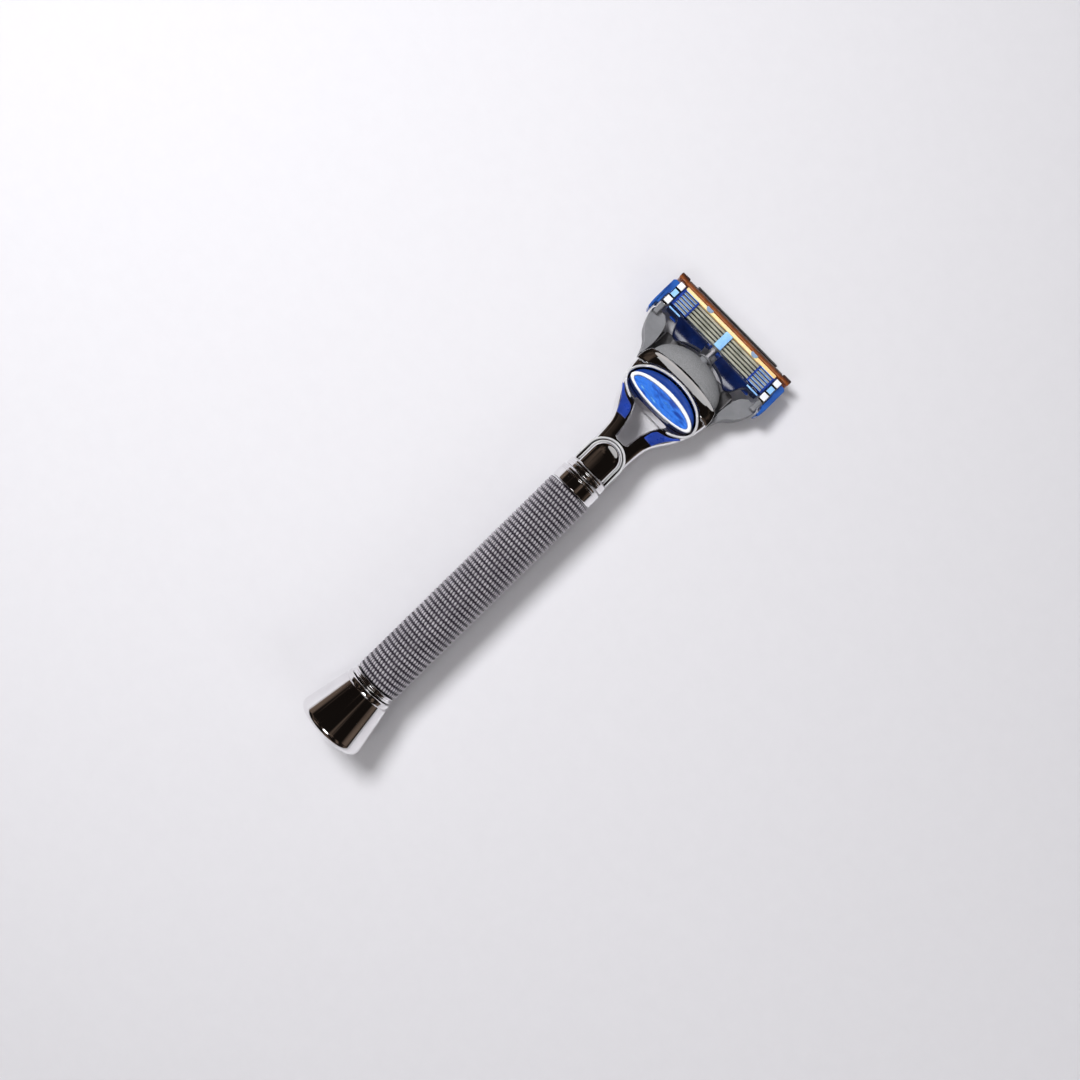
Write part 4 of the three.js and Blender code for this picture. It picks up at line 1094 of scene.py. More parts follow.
# --------------------------------------------------------------------------- head
@dataclass
class Yoke:
    """The plated head: wishbone, neck tongue, arm inlays, bezel line and brow."""

    body: str = "handle"
    bottom: float = -4.6
    top: float = 3.2
    edge: float = 0.7
    window_start: float = 11.6
    window_end: float = 23.8
    window_width: float = 6.1
    outline: tuple[Point, ...] = (
        (6.0, -2.0), (5.8, 3.0), (5.75, 9.0), (6.6, 15.4), (10.3, 21.8), (12.35, 26.5),
        (13.1, 30.8), (12.95, 33.0), (12.4, 34.6),
    )
    front_peak: float = 37.0
    tongue_radius: float = 4.9
    tongue_centre: float = 4.9
    tongue_top: float = 5.4
    tongue_lines: tuple[tuple[str, float, float, float], ...] = (
        ("tongue_bead", -0.32, 3.62, 0.30),
        ("tongue_lip", 0.72, 2.95, 0.34),
    )
    inlay_outer: tuple[Point, ...] = ((6.6, 16.4), (8.3, 19.7), (11.0, 23.1))
    inlay_front: tuple[Point, ...] = ((10.5, 23.15), (8.2, 21.4), (5.3, 20.4))
    inlay_inner: tuple[Point, ...] = ((4.9, 20.2), (4.05, 18.9), (3.6, 16.6))
    inlay_seat: float = 0.3
    inlay_rise: float = 0.5
    inlay_edge: float = 0.25
    bezel_half: float = 12.3
    bezel_span: tuple[float, float, float] = (20.5, 26.7, 34.2)
    bezel_band: float = 0.7
    bezel_wire: float = 0.36
    bezel_inset: float = 0.35
    bezel_height: float = 3.98
    bezel_sink: float = 0.6
    recess_floor: float = 0.72
    pocket: tuple[float, float, float, float] = (11.4, 23.6, 29.2, 35.6)
    tunnel: tuple[float, float, float, float] = (7.3, 25.0, 39.0, -2.9)
    tunnel_height: float = 2.0
    brow_back: float = 30.5
    brow_top: float = 4.8
    fall_span: float = 1.3
    neck_gap: float = 0.3
    neck_slant: float = 0.1405

    def build(self) -> list[bpy.types.Object]:
        """Makes every piece of the plated head."""
        return [self.wishbone(), self.tongue(), *self.lines(), *self.inlays(), self.bezel(), self.brow()]

    def right_side(self, shrink: float = 0.0) -> list[Point]:
        """The right half of the outline from the neck to the front arc's middle.

        Args:
            shrink: how far it is drawn in from the yoke's edge.

        Returns:
            Its points, from back to front.
        """
        side = smooth([(x - shrink, y) for x, y in self.outline], 6)
        end_x, end_y = side[-1]
        rise = self.front_peak - shrink - end_y
        front = [
            (end_x * math.cos(a), end_y + rise * math.sin(a) ** 0.9)
            for a in (math.radians(6 * i) for i in range(1, 16))
        ]
        front[-1] = (0.0, self.front_peak - shrink)
        return side + front

    def wishbone(self) -> bpy.types.Object:
        """The yoke's body with its window, the tongue's seat and the button's recess cut out."""
        solid = Solid()
        under, over = self.edge, self.edge + 0.9
        levels = [
            (both(self.right_side(under * (1 - math.sin(a)))), self.bottom + under * (1 - math.cos(a)))
            for a in (math.radians(15 * i) for i in range(7))
        ]
        levels += [
            (both(self.right_side(over * (1 - math.cos(a)))), self.top - over * (1 - math.sin(a)))
            for a in (math.radians(9 * i) for i in range(11))
        ]
        solid.stack(levels)
        tag = Tag("head_wishbone", self.body, "chrome_plate", ("head_yoke",))
        piece = publish(solid, tag, Finishes.CHROME, Place.HEAD, 35)
        low, high, floor = self.bottom - 1, self.top + 1, self.recess_floor
        recess = [
            (oval(self.bezel_half, *self.bezel_span, grow=grow - self.bezel_band), z)
            for grow, z in ((0.0, floor), (0.0, self.top - 0.4), (0.12, self.top - 0.15), (0.4, high))
        ]
        window = [
            (both(self._window(grow)), z)
            for grow, z in (
                (0.3, low), (0.0, self.bottom + 0.5), (0.0, self.top - 0.9), (0.12, self.top - 0.45),
                (0.4, self.top - 0.12), (0.8, high),
            )
        ]
        seat = self._tongue_outline(self.tongue_radius + 0.55, -3.0)
        neck = [
            ([(9.0, -4.0), (9.0, self._neck_face(z)), (-9.0, self._neck_face(z)), (-9.0, -4.0)], z)
            for z in (low - 1, high + 1)
        ]
        half, back, front, base = self.tunnel
        tunnel = [(half, back), (half, front), (-half, front), (-half, back)]
        pocket = oval(*self.pocket)
        cuts = [
            cutter(window),
            cutter([(seat, self.top - 1.7), (seat, high)]),
            cutter(recess),
            cutter([(tunnel, base), (tunnel, base + self.tunnel_height)]),
            cutter([(pocket, floor), (pocket, self.top - 0.16)]),
            cutter(neck),
        ]
        cut(piece, cuts)
        return piece

    def _neck_face(self, height: float) -> float:
        """Where the head ends behind, at a height, so that its face is square to the handle."""
        return self.neck_gap - height * self.neck_slant

    def _window(self, grow: float) -> list[Point]:
        """Right half of the window between the arms, its corners rounded.

        Args:
            grow: how far it is widened all round.

        Returns:
            Its points, from back to front.
        """
        y0, y1, w = self.window_start, self.window_end, self.window_width
        curve = [(1.2, y0 - grow), (1.75 + grow, y0 + 0.4 - grow)]
        curve += [
            (1.9 + grow + (w - 1.9) * t**2.2, y0 + (y1 - y0) * t) for t in (0.2, 0.4, 0.6, 0.75, 0.88)
        ]
        curve += [(w - 0.35 + grow, y1 - 0.45), (w - 0.5 + grow, y1 - 0.1), (w - 1.0, y1)]
        return curve

    def _tongue_outline(self, radius: float, start: float) -> list[Point]:
        """Round-ended outline of the tongue.

        Args:
            radius: the radius of its end.
            start: where its sides start along the head.

        Returns:
            Its points, from the right side round to the left.
        """
        front = arc(0, self.tongue_centre, radius, radius, 0, 180, 40)
        return [(radius, start), *front, (-radius, start)]

    def tongue(self) -> bpy.types.Object:
        """The polished tongue: an outer rim, a fine bead and a dome inside it."""
        solid = Solid()
        radius, top = self.tongue_radius, self.tongue_top
        section = [
            (0.05, self.top - 1.5), (0.0, top - 2.3), (0.05, top - 1.9), (0.14, top - 1.7),
            (0.24, top - 1.64), (0.34, top - 1.7), (0.40, top - 1.95), (0.48, top - 1.95),
            (0.55, top - 1.5), (0.68, top - 1.05), (0.88, top - 0.72), (1.2, top - 0.46),
            (1.7, top - 0.26), (2.4, top - 0.12), (3.3, top - 0.03), (4.5, top),
        ]
        levels = [
            (self._tongue_outline(radius - inset, self._neck_face(height)), height)
            for inset, height in section
        ]
        solid.stack(levels)
        tag = Tag("neck_tongue_dome", self.body, "chrome_plate", ("neck_tongue",))
        return publish(solid, tag, Finishes.CHROME, Place.HEAD, 50)

    def lines(self) -> list[bpy.types.Object]:
        """The fine bead round the tongue and the lip outside it, both in the paler line finish as a
        painted highlight.
        """
        made = []
        for name, grow, height, thick in self.tongue_lines:
            solid = Solid()
            path = self._tongue_outline(self.tongue_radius + grow, self._neck_face(height) + 0.4)
            solid.tube([(x, y, height) for x, y in path], thick, 12)
            tag = Tag(name, self.body, "chrome_plate")
            made.append(publish(solid, tag, Finishes.LINE, Place.HEAD, 60))
        return made

    def inlays(self) -> list[bpy.types.Object]:
        """The two coloured inlays on the arms, softly domed."""
        made = []
        for side, node in ((-1, "arm_inlay_left"), (1, "arm_inlay_right")):
            right = smooth(self.inlay_outer, 6) + smooth(self.inlay_front, 6)
            right += smooth(self.inlay_inner, 4)
            solid = Solid()
            outline = [(side * x, y) for x, y in right]
            top = solid.slab(outline, self.top - self.inlay_seat, self.top + self.inlay_rise)
            solid.softened(top, self.inlay_edge)
            tag = Tag(f"{node}_cap", self.body, "navy_plastic", (node,))
            made.append(publish(solid, tag, Finishes.INLAY, Place.HEAD, 45))
        return made

    def bezel(self) -> bpy.types.Object:
        """A fine bead round the button's recess, open towards the window, in the paler line finish as a
        painted highlight.
        """
        solid = Solid()
        start, widest, end = self.bezel_span
        half, inset = self.bezel_half - self.bezel_inset, self.bezel_inset
        front = arc(0, widest, half, end - widest - inset, 0, 180, 48)
        left = arc(0, widest, half, widest - start - inset, 180, 236, 14)
        right = [(-x, y) for x, y in reversed(left)]
        path = right[:-1] + front + left[1:]
        sunk = [(x, y, self.bezel_height - self.bezel_sink * self._fall(y)) for x, y in path]
        solid.tube(sunk, self.bezel_wire, 12)
        tag = Tag("bezel_line", self.body, "chrome_plate", ("button_bezel",))
        return publish(solid, tag, Finishes.LINE, Place.HEAD, 60)

    def brow(self) -> bpy.types.Object:
        """The crescent in front of the button: a small round at its edge, then a gentle crown."""
        solid = Solid()
        base = self.top + 0.05
        section = (
            (0.0, base), (0.0, 4.10), (0.04, 4.22), (0.12, 4.30), (0.34, 4.38),
            (0.8, 4.50), (1.4, 4.63), (2.0, 4.72), (2.6, 4.78), (3.2, self.brow_top),
        )
        solid.stack([(both(self._brow_side(inset)), height) for inset, height in section])
        solid.sliced(self.brow_back + 0.05, 0.1, 12)
        for vert in solid.bm.verts:
            vert.co.z -= (vert.co.z - base) * self._fall(vert.co.y + 0.3)
        tag = Tag("brow_crescent", self.body, "chrome_plate", ("head_brow",))
        piece = publish(solid, tag, Finishes.CHROME, Place.HEAD, 35)
        hole = oval(self.bezel_half, *self.bezel_span, grow=0.25)
        cut(piece, [cutter([(hole, base - 1), (hole, self.brow_top + 1)])])
        return piece

    def _fall(self, y: float) -> float:
        """How far the raised front has sunk into the arms at a place: 0 in front, 1 behind."""
        t = min(1.0, max(0.0, (self.brow_back + self.fall_span - y) / self.fall_span))
        return t * t * (3 - 2 * t)

    def _brow_side(self, shrink: float) -> list[Point]:
        """The part of the right side that lies in front of the brow's back edge."""
        sides = zip(self.right_side(shrink), self.right_side())
        return [(x, y) for (x, y), (_, at) in sides if at >= self.brow_back]


@dataclass
class ReleaseButton:
    """The sliding button: body and skirt, white ring and rippled pad."""

    body: str = "release_button"
    half: float = 11.0
    start: float = 23.6
    widest: float = 26.2
    end: float = 30.2
    bottom: float = 1.0
    ring_base: float = 4.4
    ring_top: float = 5.2
    ring_band: float = 1.1
    ring_back: float = 0.55
    skirt: tuple[float, float, float, float] = (11.1, 23.9, 27.0, 33.3)
    shell: tuple[float, float, float, float] = (10.75, 23.85, 26.2, 29.95)
    pad_top: float = 5.0
    pad_share: float = 1.08
    pad_rise: float = 0.42

    def build(self) -> list[bpy.types.Object]:
        """Makes the three shown pieces of the button."""
        return [self.base(), self.ring(), self.pad()]

    def base(self) -> bpy.types.Object:
        """Dark body under the ring, and the sloping skirt that shows in front of it."""
        solid = Solid()
        slope = (
            (0.0, self.bottom), (0.0, 2.3), (-0.12, 2.5), (-0.4, 2.65), (-1.0, 2.78), (-1.9, 2.88),
        )
        solid.stack([(oval(*self.skirt, grow), z) for grow, z in slope])
        edge = ((0.0, self.bottom + 0.1), (0.0, 3.75), (-0.08, 4.0), (-0.35, 4.1))
        solid.stack([(oval(*self.shell, grow), z) for grow, z in edge])
        tag = Tag("button_shell", self.body, "navy_plastic", ("button_body",))
        return publish(solid, tag, Finishes.NAVY, Place.HEAD, 40)

    def ring(self) -> bpy.types.Object:
        """White oval band, rounded in section, thinner along its back."""
        solid = Solid()
        lip = self.ring_top - self.ring_base
        sections = (
            (0.0, 0.0), (0.0, lip * 0.55), (0.10, lip * 0.82), (0.30, lip), (0.75, lip),
            (0.95, lip * 0.86), (1.0, lip * 0.6), (1.0, 0.0),
        )
        loops = []
        for share, height in sections:
            outline = self._inner(share)
            made = [solid.bm.verts.new((x, y, self.ring_base + height)) for x, y in outline]
            loops.append([solid.bm.edges.new((made[i], made[i - 1])) for i in range(len(made))])
        for a, b in zip(loops, loops[1:] + loops[:1]):
            bmesh.ops.bridge_loops(solid.bm, edges=a + b)
        tag = Tag("button_band", self.body, "white_plastic", ("button_ring",))
        return publish(solid, tag, Finishes.WHITE, Place.HEAD, 50)

    def _inner(self, share: float) -> list[Point]:
        """An outline between the ring's outer and inner edges.

        Args:
            share: 0 at the outer edge, 1 at the inner edge, more inside it.

        Returns:
            Its points.
        """
        side, back = self.ring_band * share, self.ring_back * share
        upper = arc(0, self.widest, self.half - side, self.end - self.widest - side, 0, 180, 48)
        lower = arc(0, self.widest, self.half - side, self.widest - self.start - back, 180, 360, 48)
        return upper[:-1] + lower[:-1]

    def pad(self) -> bpy.types.Object:
        """The rippled oval inside the ring, slightly domed."""
        solid = Solid()
        outline = self._inner(self.pad_share)
        top = solid.slab(outline, self.ring_base, self.pad_top - self.pad_rise)
        centre = (0.0, (self.start + self.end) / 2 + 0.1)
        solid.crown(top, centre, 0.12, self.pad_rise, 9)
        tag = Tag("button_oval", self.body, "blue_plastic", ("button_pad",))
        return publish(solid, tag, Finishes.BLUE, Place.HEAD, 60)


@dataclass
class Carrier:
    """The grey frame that clicks into the yoke: arms, webs, soft dome, bush and plunger."""

    body: str = "carrier"
    arm_bottom: float = -2.4
    arm_top: float = 2.4
    web_top: float = 0.6
    block_bottom: float = -4.1
    nose_top: float = -1.2
    dome_half: float = 11.7
    dome_base: float = 36.0
    dome_depth: float = 8.2
    dome_bottom: float = -0.9
    dome_top: float = 4.9
    dome_gap: float = 0.12
    yoke_half: float = 12.4
    yoke_shoulder: float = 34.6
    yoke_peak: float = 37.0
    dome_centre: float = 39.2
    dome_steps: int = 27
    arm_outer: tuple[Point, ...] = ((13.5, 32.4), (15.0, 35.9), (17.8, 38.9), (19.7, 43.1), (19.3, 44.9))
    arm_inner: tuple[Point, ...] = ((16.0, 44.9), (14.4, 43.5), (13.5, 41.4), (12.9, 37.6), (13.1, 34.0))
    arm_tip: Point = (13.15, 33.3)
    boss: tuple[float, float, float] = (18.5, 1.28, 1.5)
    pin: tuple[float, float, float] = (19.4, 0.72, 2.1)
    web_side: tuple[Point, ...] = (
        (0.0, 37.7), (7.0, 37.2), (13.0, 35.7), (14.9, 41.8), (12.2, 43.7), (9.0, 43.95), (0.0, 43.95),
    )
    rib_places: tuple[float, ...] = (12.55, 13.35, 14.15)
    pivot: Point = (47.3, 2.8)
    bush_start: float = 42.9
    bush_flange: float = 44.5
    bush_end: float = 44.9
    plunger_height: float = 0.8
    coil_radius: float = 0.9
    coil_wire: float = 0.11
    coil_turns: int = 3
    coil_start: float = 38.72
    coil_rise: float = 1.6

    def build(self) -> list[bpy.types.Object]:
        """Makes every piece of the carrier and the plunger in it."""
        return [self.arms(), self.web(), self.dome(), self.bush(), self.plunger(), self.spring()]

    def arms(self) -> bpy.types.Object:
        """The two curved arms, rounded along their tops, with pins at their ends."""
        outer, inner = smooth(self.arm_outer, 7), smooth(self.arm_inner, 7)
        solid = Solid()
        top = solid.slab([*outer, *inner[:-1], self.arm_tip], self.arm_bottom, self.arm_top)
        solid.softened(top, 0.5)
        y, z = self.pivot
        solid.block((17.8, 43.0, 0.1), (19.25, y + 0.1, z + 1.2), 0.35)
        before = set(solid.bm.verts)
        for (x, radius, length), segments in ((self.boss, 40), (self.pin, 24)):
            bmesh.ops.create_cone(
                solid.bm,
                cap_ends=True,
                segments=segments,
                radius1=radius,
                radius2=radius,
                depth=length,
                matrix=Matrix.Translation((x, y, z)) @ Matrix.Rotation(math.pi / 2, 4, "Y"),
            )
        edges = {e for v in solid.bm.verts if v not in before for e in v.link_edges}
        caps = {e for e in edges if len(e.link_faces) == 2 and e.calc_face_angle() > 1.0}
        solid.bevel(caps, 0.15, 3)
        solid.mirrored()
        tag = Tag("carrier_arms", self.body, "grey_plastic", ("carrier_frame",))
        return publish(solid, tag, Finishes.GREY, Place.HEAD, 40)

    def web(self) -> bpy.types.Object:
        """The floor between the arms, with its ribs and the docking nose, in a darker copy of the grey
        plastic as painted shade.
        """
        solid = Solid()
        outline = [*self.web_side, *[(-x, y) for x, y in reversed(self.web_side) if x]]
        floor = solid.slab(outline, self.arm_bottom + 0.05, self.web_top - 2.4)
        solid.rounded(floor, 0.2, 3)
        for x in self.rib_places:
            solid.block((x, 38.2, self.arm_bottom + 0.1), (x + 0.35, 42.4, self.web_top), 0.12)
        ribs = [v for v in solid.bm.verts if v.co.x > 12.4 and v.co.z > self.web_top - 1.0]
        bmesh.ops.translate(solid.bm, vec=(0, 0, -0.1), verts=ribs)
        solid.mirrored()
        solid.block((-9.9, 37.7, self.block_bottom), (9.9, 43.7, self.nose_top), 0.6)
        solid.block((-6.95, 32.05, -2.55), (6.95, 39.0, self.nose_top - 0.05), 0.3)
        tag = Tag("carrier_web", self.body, "grey_plastic", ("carrier_frame",))
        return publish(solid, tag, Finishes.WEB, Place.HEAD, 40)

    def dome(self) -> bpy.types.Object:
        """The soft dome: half an ellipse in front, hollowed to the yoke's curve behind."""
        half, base, depth = self.dome_half, self.dome_base, self.dome_depth
        front = arc(0, base, half, depth, 0, 180, 64)
        back = []
        for i in range(1, 40):
            x = half * (i / 20 - 1.0)
            bow = (1.0 - (x / self.yoke_half) ** 2) ** 0.45
            yoke_front = self.yoke_shoulder + (self.yoke_peak - self.yoke_shoulder) * bow
            back.append((x, yoke_front + self.dome_gap))
        solid = Solid()
        rim, centre = front + back, self.dome_centre
        levels = [(rim, self.dome_bottom)]
        for i in range(self.dome_steps):
            keep = math.cos(math.radians(90 * (i / self.dome_steps)))
            levels.append(([(x * keep, centre + (y - centre) * keep) for x, y in rim], 0.0))
        solid.stack(levels)
        for vert in solid.bm.verts:
            if vert.co.z > self.dome_bottom:
                vert.co.z = self._crown(vert.co.x, vert.co.y)
        tag = Tag("dome_skin", self.body, "grey_elastomer", ("dome_boot",))
        return publish(solid, tag, Finishes.DOME, Place.HEAD, 50)

    def _crown(self, x: float, y: float) -> float:
        """Height of the dome's skin over a point.

        Args:
            x: the point's place across.
            y: the point's place along.

        Returns:
            The height.
        """
        across = x / (self.dome_half + 0.5)
        ahead = (y - self.dome_base) / (self.dome_depth + 0.45)
        rise = max(0.0, 1.0 - across**2 - ahead**2) ** 0.5
        return self.dome_bottom + (self.dome_top - self.dome_bottom - 0.2) * rise

    def bush(self) -> bpy.types.Object:
        """The bush that guides the plunger, its flange seated on the dome."""
        start, flange, end = self.bush_start, self.bush_flange, self.bush_end
        profile = [(0.9, start), (1.3, start), (1.3, flange), (1.95, flange)]
        profile += arc(1.95, flange + 0.12, 0.12, 0.12, -60, 0, 3)
        profile += arc(1.9, end - 0.15, 0.15, 0.15, 20, 90, 3)
        profile += [(0.9, end), (0.9, start)]
        solid = Solid()
        solid.turned(profile, 56, self.plunger_height)
        tag = Tag("bush_flange", self.body, "grey_plastic", ("plunger_bush",))
        return publish(solid, tag, Finishes.GREY, Place.HEAD, 35)

    def plunger(self) -> bpy.types.Object:
        """The plunger: a head inside the bore and a stepped rod with a round tip."""
        profile = [(0.0, 40.8), (1.1, 40.8), (1.15, 40.86), (1.15, 41.55), (1.1, 41.6), (0.58, 41.6)]
        profile += [(0.58, 46.6), (0.5, 46.75), (0.5, 48.2)]
        profile += arc(0.0, 48.2, 0.5, 0.48, 0, 90, 6)
        solid = Solid()
        solid.turned(profile, 40, self.plunger_height)
        tag = Tag("plunger_rod", "plunger", "grey_plastic", ("plunger",))
        return publish(solid, tag, Finishes.ROD, Place.HEAD, 35)

    def spring(self) -> bpy.types.Object:
        """The plunger's coil, at its rest length."""
        solid = Solid()
        steps = self.coil_turns * 16
        first = (self.coil_radius, self.coil_start + self.coil_wire, self.plunger_height)
        wire = bmesh.ops.create_circle(
            solid.bm,
            cap_ends=False,
            radius=self.coil_wire,
            segments=10,
            matrix=Matrix.Translation(first),
        )["verts"]
        bmesh.ops.spin(
            solid.bm,
            geom=[*wire, *{e for v in wire for e in v.link_edges}],
            cent=(0, 0, self.plunger_height),
            axis=(0, 1, 0),
            dvec=(0, self.coil_rise / steps, 0),
            angle=2 * math.pi * self.coil_turns,
            steps=steps,
        )
        ends = [e for e in solid.bm.edges if e.is_boundary]
        bmesh.ops.holes_fill(solid.bm, edges=ends)
        tag = Tag("plunger_coil", self.body, "plain_steel", ("plunger_spring",))
        piece = publish(solid, tag, Finishes.STEEL, Place.HEAD, 60)
        row = Place.HEAD.matrix()
        length = self.coil_rise + 2 * self.coil_wire
        stroke = next(j for j in frame["joints"] if j["name"] == "plunger_slide")["range_m"][1] / MM
        1 - stroke / length
        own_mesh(piece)
        return piece


@dataclass
class Cartridge:
    """The blade cartridge: housing, guard, combs, stay, clips, strip, holder and trimmer."""

    body: str = "cartridge"
    blade_count: int = 5
    blade_pitch: float = 1.05
    first_edge: float = 47.9
    start: float = 47.7
    floor: float = 1.2
    guard_bottom: float = 1.6
    comb_start: float = 11.6
    cap_start: float = 54.4
    cap_end: float = 56.2
    cap_half: float = 20.8
    rib_spans: tuple[Point, ...] = (
        (-17.4, -16.2), (-12.0, -11.0), (-1.7, -1.0), (1.0, 1.7), (11.0, 12.0), (16.2, 17.4),
    )
    lobe_edge: tuple[Point, ...] = (
        (2.45, 47.3), (2.5, 43.6), (4.6, 42.35), (8.5, 41.9), (10.9, 42.6), (12.5, 45.5),
    )
    bar_edge: tuple[Point, ...] = ((13.3, 46.1), (16.95, 46.25), (16.95, 47.35))
    lobe_lean: float = 0.105
    lean_start: float = 46.2
    guard_height: float = 3.05
    dome_room: tuple[float, float, float] = (36.0, 12.3, 8.75)
    bar_gap: float = 0.15
    pad_spans: tuple[Point, ...] = ((46.7, 48.75), (51.9, 53.8))
    tooth_count: int = 29
    tooth_span: float = 28.6

    def build(self) -> list[bpy.types.Object]:
        """Makes every new piece of the cartridge."""
        made = [self.tray(), self.rails()]
        made += [self.guard(side, node) for side, node in ((1, "guard_right"), (-1, "guard_left"))]
        made += [self.guard_highlight_bars(), self.combs(), self.comb_lines(), self.stay()]
        made += [self.clip(side, node) for side, node in ((1, "clip_right"), (-1, "clip_left"))]
        made += [self.clip_pads(), self.clip_centres(), self.strip(), self.tabs()]
        return made + [self.holder(), self.trimmer_edge()]

    def tray(self) -> bpy.types.Object:
        """The tray under the blades: floor bars, walls and ribs, open between for rinsing."""
        solid = Solid()
        solid.block((-17.35, self.start, -0.75), (-1.7, self.start + 0.5, 2.0), 0.15)
        solid.block((1.7, self.start, -0.75), (17.35, self.start + 0.5, 2.0), 0.15)
        solid.block((-17.35, 52.8, -0.75), (17.35, 54.05, 3.55), 0.2)
        for x0, x1 in self.rib_spans:
            solid.block((x0, self.start + 0.1, -0.7), (x1, 53.9, self.floor), 0.1)
        for side in (-1, 1):
            low, high = sorted((side * 17.05, side * 17.5))
            solid.block((low, self.start + 0.02, -0.75), (high, 54.05, 4.28), 0.12)
            inner, outer = sorted((side * 2.5, side * 14.9))
            solid.block((inner, 45.75, 0.85), (outer, self.start + 0.4, 1.28), 0.1)
        tag = Tag("housing_tray", self.body, "navy_plastic", ("cartridge_housing",))
        return publish(solid, tag, Finishes.NAVY, Place.HEAD, 40)

    def rails(self) -> bpy.types.Object:
        """The rails at both ends, which reach back beside the carrier's arms."""
        solid = Solid()
        outline = [(17.1, 49.35), (19.65, 49.35), (19.65, 45.6), (20.15, 45.1), (20.15, 42.5)]
        outline += smooth([(20.4, 42.45), (21.0, 43.2), (21.25, 45.9)], 6)
        outline += [(21.25, 53.0), (20.7, 53.65), (17.1, 53.65)]
        top = solid.slab(outline, 0.45, 4.28)
        solid.rounded(top, 0.35, 4)
        solid.mirrored()
        tag = Tag("housing_rails", self.body, "navy_plastic", ("cartridge_housing",))
        return publish(solid, tag, Finishes.RAIL, Place.HEAD, 40)

    def guard(self, side: int, node: str) -> bpy.types.Object:
        """Half of the soft guard: a lobe beside the dome and a bar before the blades.

        Args:
            side: 1 for the right half, -1 for the left.
            node: the CAD node that it stands for.

        Returns:
            The guard half.
        """
        outline = [(side * x, y) for x, y in [*smooth(self.lobe_edge, 8), *self.bar_edge]]
        solid = Solid()
        top = solid.slab(outline, self.guard_bottom + 0.02, 4.65)
        solid.softened(top, 0.5)
        solid.sliced(42.2, 0.26, 16)
        for vert in solid.bm.verts:
            lean = max(0.0, self.lean_start - vert.co.y) ** 2 * self.lobe_lean
            share = (vert.co.z - self.guard_bottom) / self.guard_height
            vert.co.z -= lean * share
        tag = Tag(f"{node}_lobe", self.body, "navy_rubber", (node,))
        piece = publish(solid, tag, Finishes.GUARD, Place.HEAD, 45)
        base, half, depth = self.dome_room
        behind = [*arc(0, base, half, depth, 0, 180, 60), (-half, 30.0), (half, 30.0)]
        cut(piece, [cutter([(behind, -3.0), (behind, 9.0)])])
        return piece

    def guard_highlight_bars(self) -> bpy.types.Object:
        """Short bars on the guard's outer ends, their pale blue a painted highlight."""
        solid = Solid()
        solid.block((12.8, 46.42, 4.55), (16.8, 46.85, 4.95), 0.12)
        solid.mirrored()
        tag = Tag("guard_highlight_bars", self.body, "pale_blue_plastic")
        return publish(solid, tag, Finishes.PALE, Place.HEAD, 40)

    def _gaps(self) -> list[float]:
        """Where the combs' bars lie: before each blade's edge and behind the last."""
        first = self.first_edge - self.bar_gap
        return [first + i * self.blade_pitch for i in range(self.blade_count + 1)]

    def combs(self) -> bpy.types.Object:
        """Bars between the blades' ends and the plates that hold them."""
        solid = Solid()
        for y in self._gaps():
            solid.block((self.comb_start, y - 0.12, 4.2), (17.0, y + 0.3, 4.98), 0.08)
        solid.block((self.comb_start, 47.85, 4.86), (self.comb_start + 0.5, 53.2, 5.0), 0.05)
        solid.block((16.5, 47.85, 4.86), (17.05, 53.2, 5.0), 0.05)
        solid.mirrored()
        tag = Tag("blade_combs", self.body, "navy_plastic")
        return publish(solid, tag, Finishes.INLAY, Place.HEAD, 40)

    def comb_lines(self) -> bpy.types.Object:
        """Fine pale ridges along the combs' bars."""
        solid = Solid()
        for y in self._gaps():
            solid.block((self.comb_start + 0.55, y + 0.02, 4.96), (16.45, y + 0.16, 5.06), 0.03)
        solid.mirrored()
        tag = Tag("comb_ridges", self.body, "pale_blue_plastic")
        return publish(solid, tag, Finishes.PALE, Place.HEAD, 40)

    def stay(self) -> bpy.types.Object:
        """The strap over the blades' middle, with a raised part along its centre."""
        solid = Solid()
        solid.block((-1.2, 47.75, 5.12), (1.2, 53.0, 5.45), 0.14)
        solid.block((-0.85, 48.9, 5.3), (0.85, 52.0, 5.5), 0.1)
        tag = Tag("stay_strap", self.body, "pale_blue_plastic", ("blade_stay",))
        return publish(solid, tag, Finishes.PALE, Place.HEAD, 40)

    def clip(self, side: int, node: str) -> bpy.types.Object:
        """The polished strap of a clip, laid over the housing's end.

        Args:
            side: 1 for the right clip, -1 for the left.
            node: the CAD node that it stands for.

        Returns:
            The strap.
        """
        solid = Solid()
        x0, x1 = sorted((side * 17.37, side * 19.33))
        solid.block((x0, 46.1, 4.62), (x1, 53.9, 4.84), 0.09)
        tag = Tag(f"{node}_strap", self.body, "clip_metal", (node,))
        return publish(solid, tag, Finishes.CHROME, Place.HEAD, 40)

    def clip_pads(self) -> bpy.types.Object:
        """The two raised pads on each clip, matt white as a painted reflection of their bright metal."""
        solid = Solid()
        for y0, y1 in self.pad_spans:
            solid.block((17.45, y0, 4.72), (19.25, y1, 5.04), 0.16)
        solid.mirrored()
        tag = Tag("clip_pads", self.body, "clip_metal")
        return publish(solid, tag, Finishes.CLIP, Place.HEAD, 40)

    def clip_centres(self) -> bpy.types.Object:
        """Pale plates on the clips, between their raised pads."""
        solid = Solid()
        solid.block((17.6, 49.3, 4.78), (19.1, 51.3, 4.93), 0.06)
        solid.mirrored()
        tag = Tag("clip_centres", self.body, "pale_blue_plastic")
        return publish(solid, tag, Finishes.PALE, Place.HEAD, 40)

    def strip(self) -> bpy.types.Object:
        """The lubricating strip, softly rounded along its top."""
        solid = Solid()
        solid.block((-16.88, 53.14, 3.78), (16.88, 54.18, 5.12), 0.22)
        tag = Tag("strip_bar", self.body, "strip_gel", ("lubricating_strip",))
        return publish(solid, tag, Finishes.STRIP, Place.HEAD, 40)

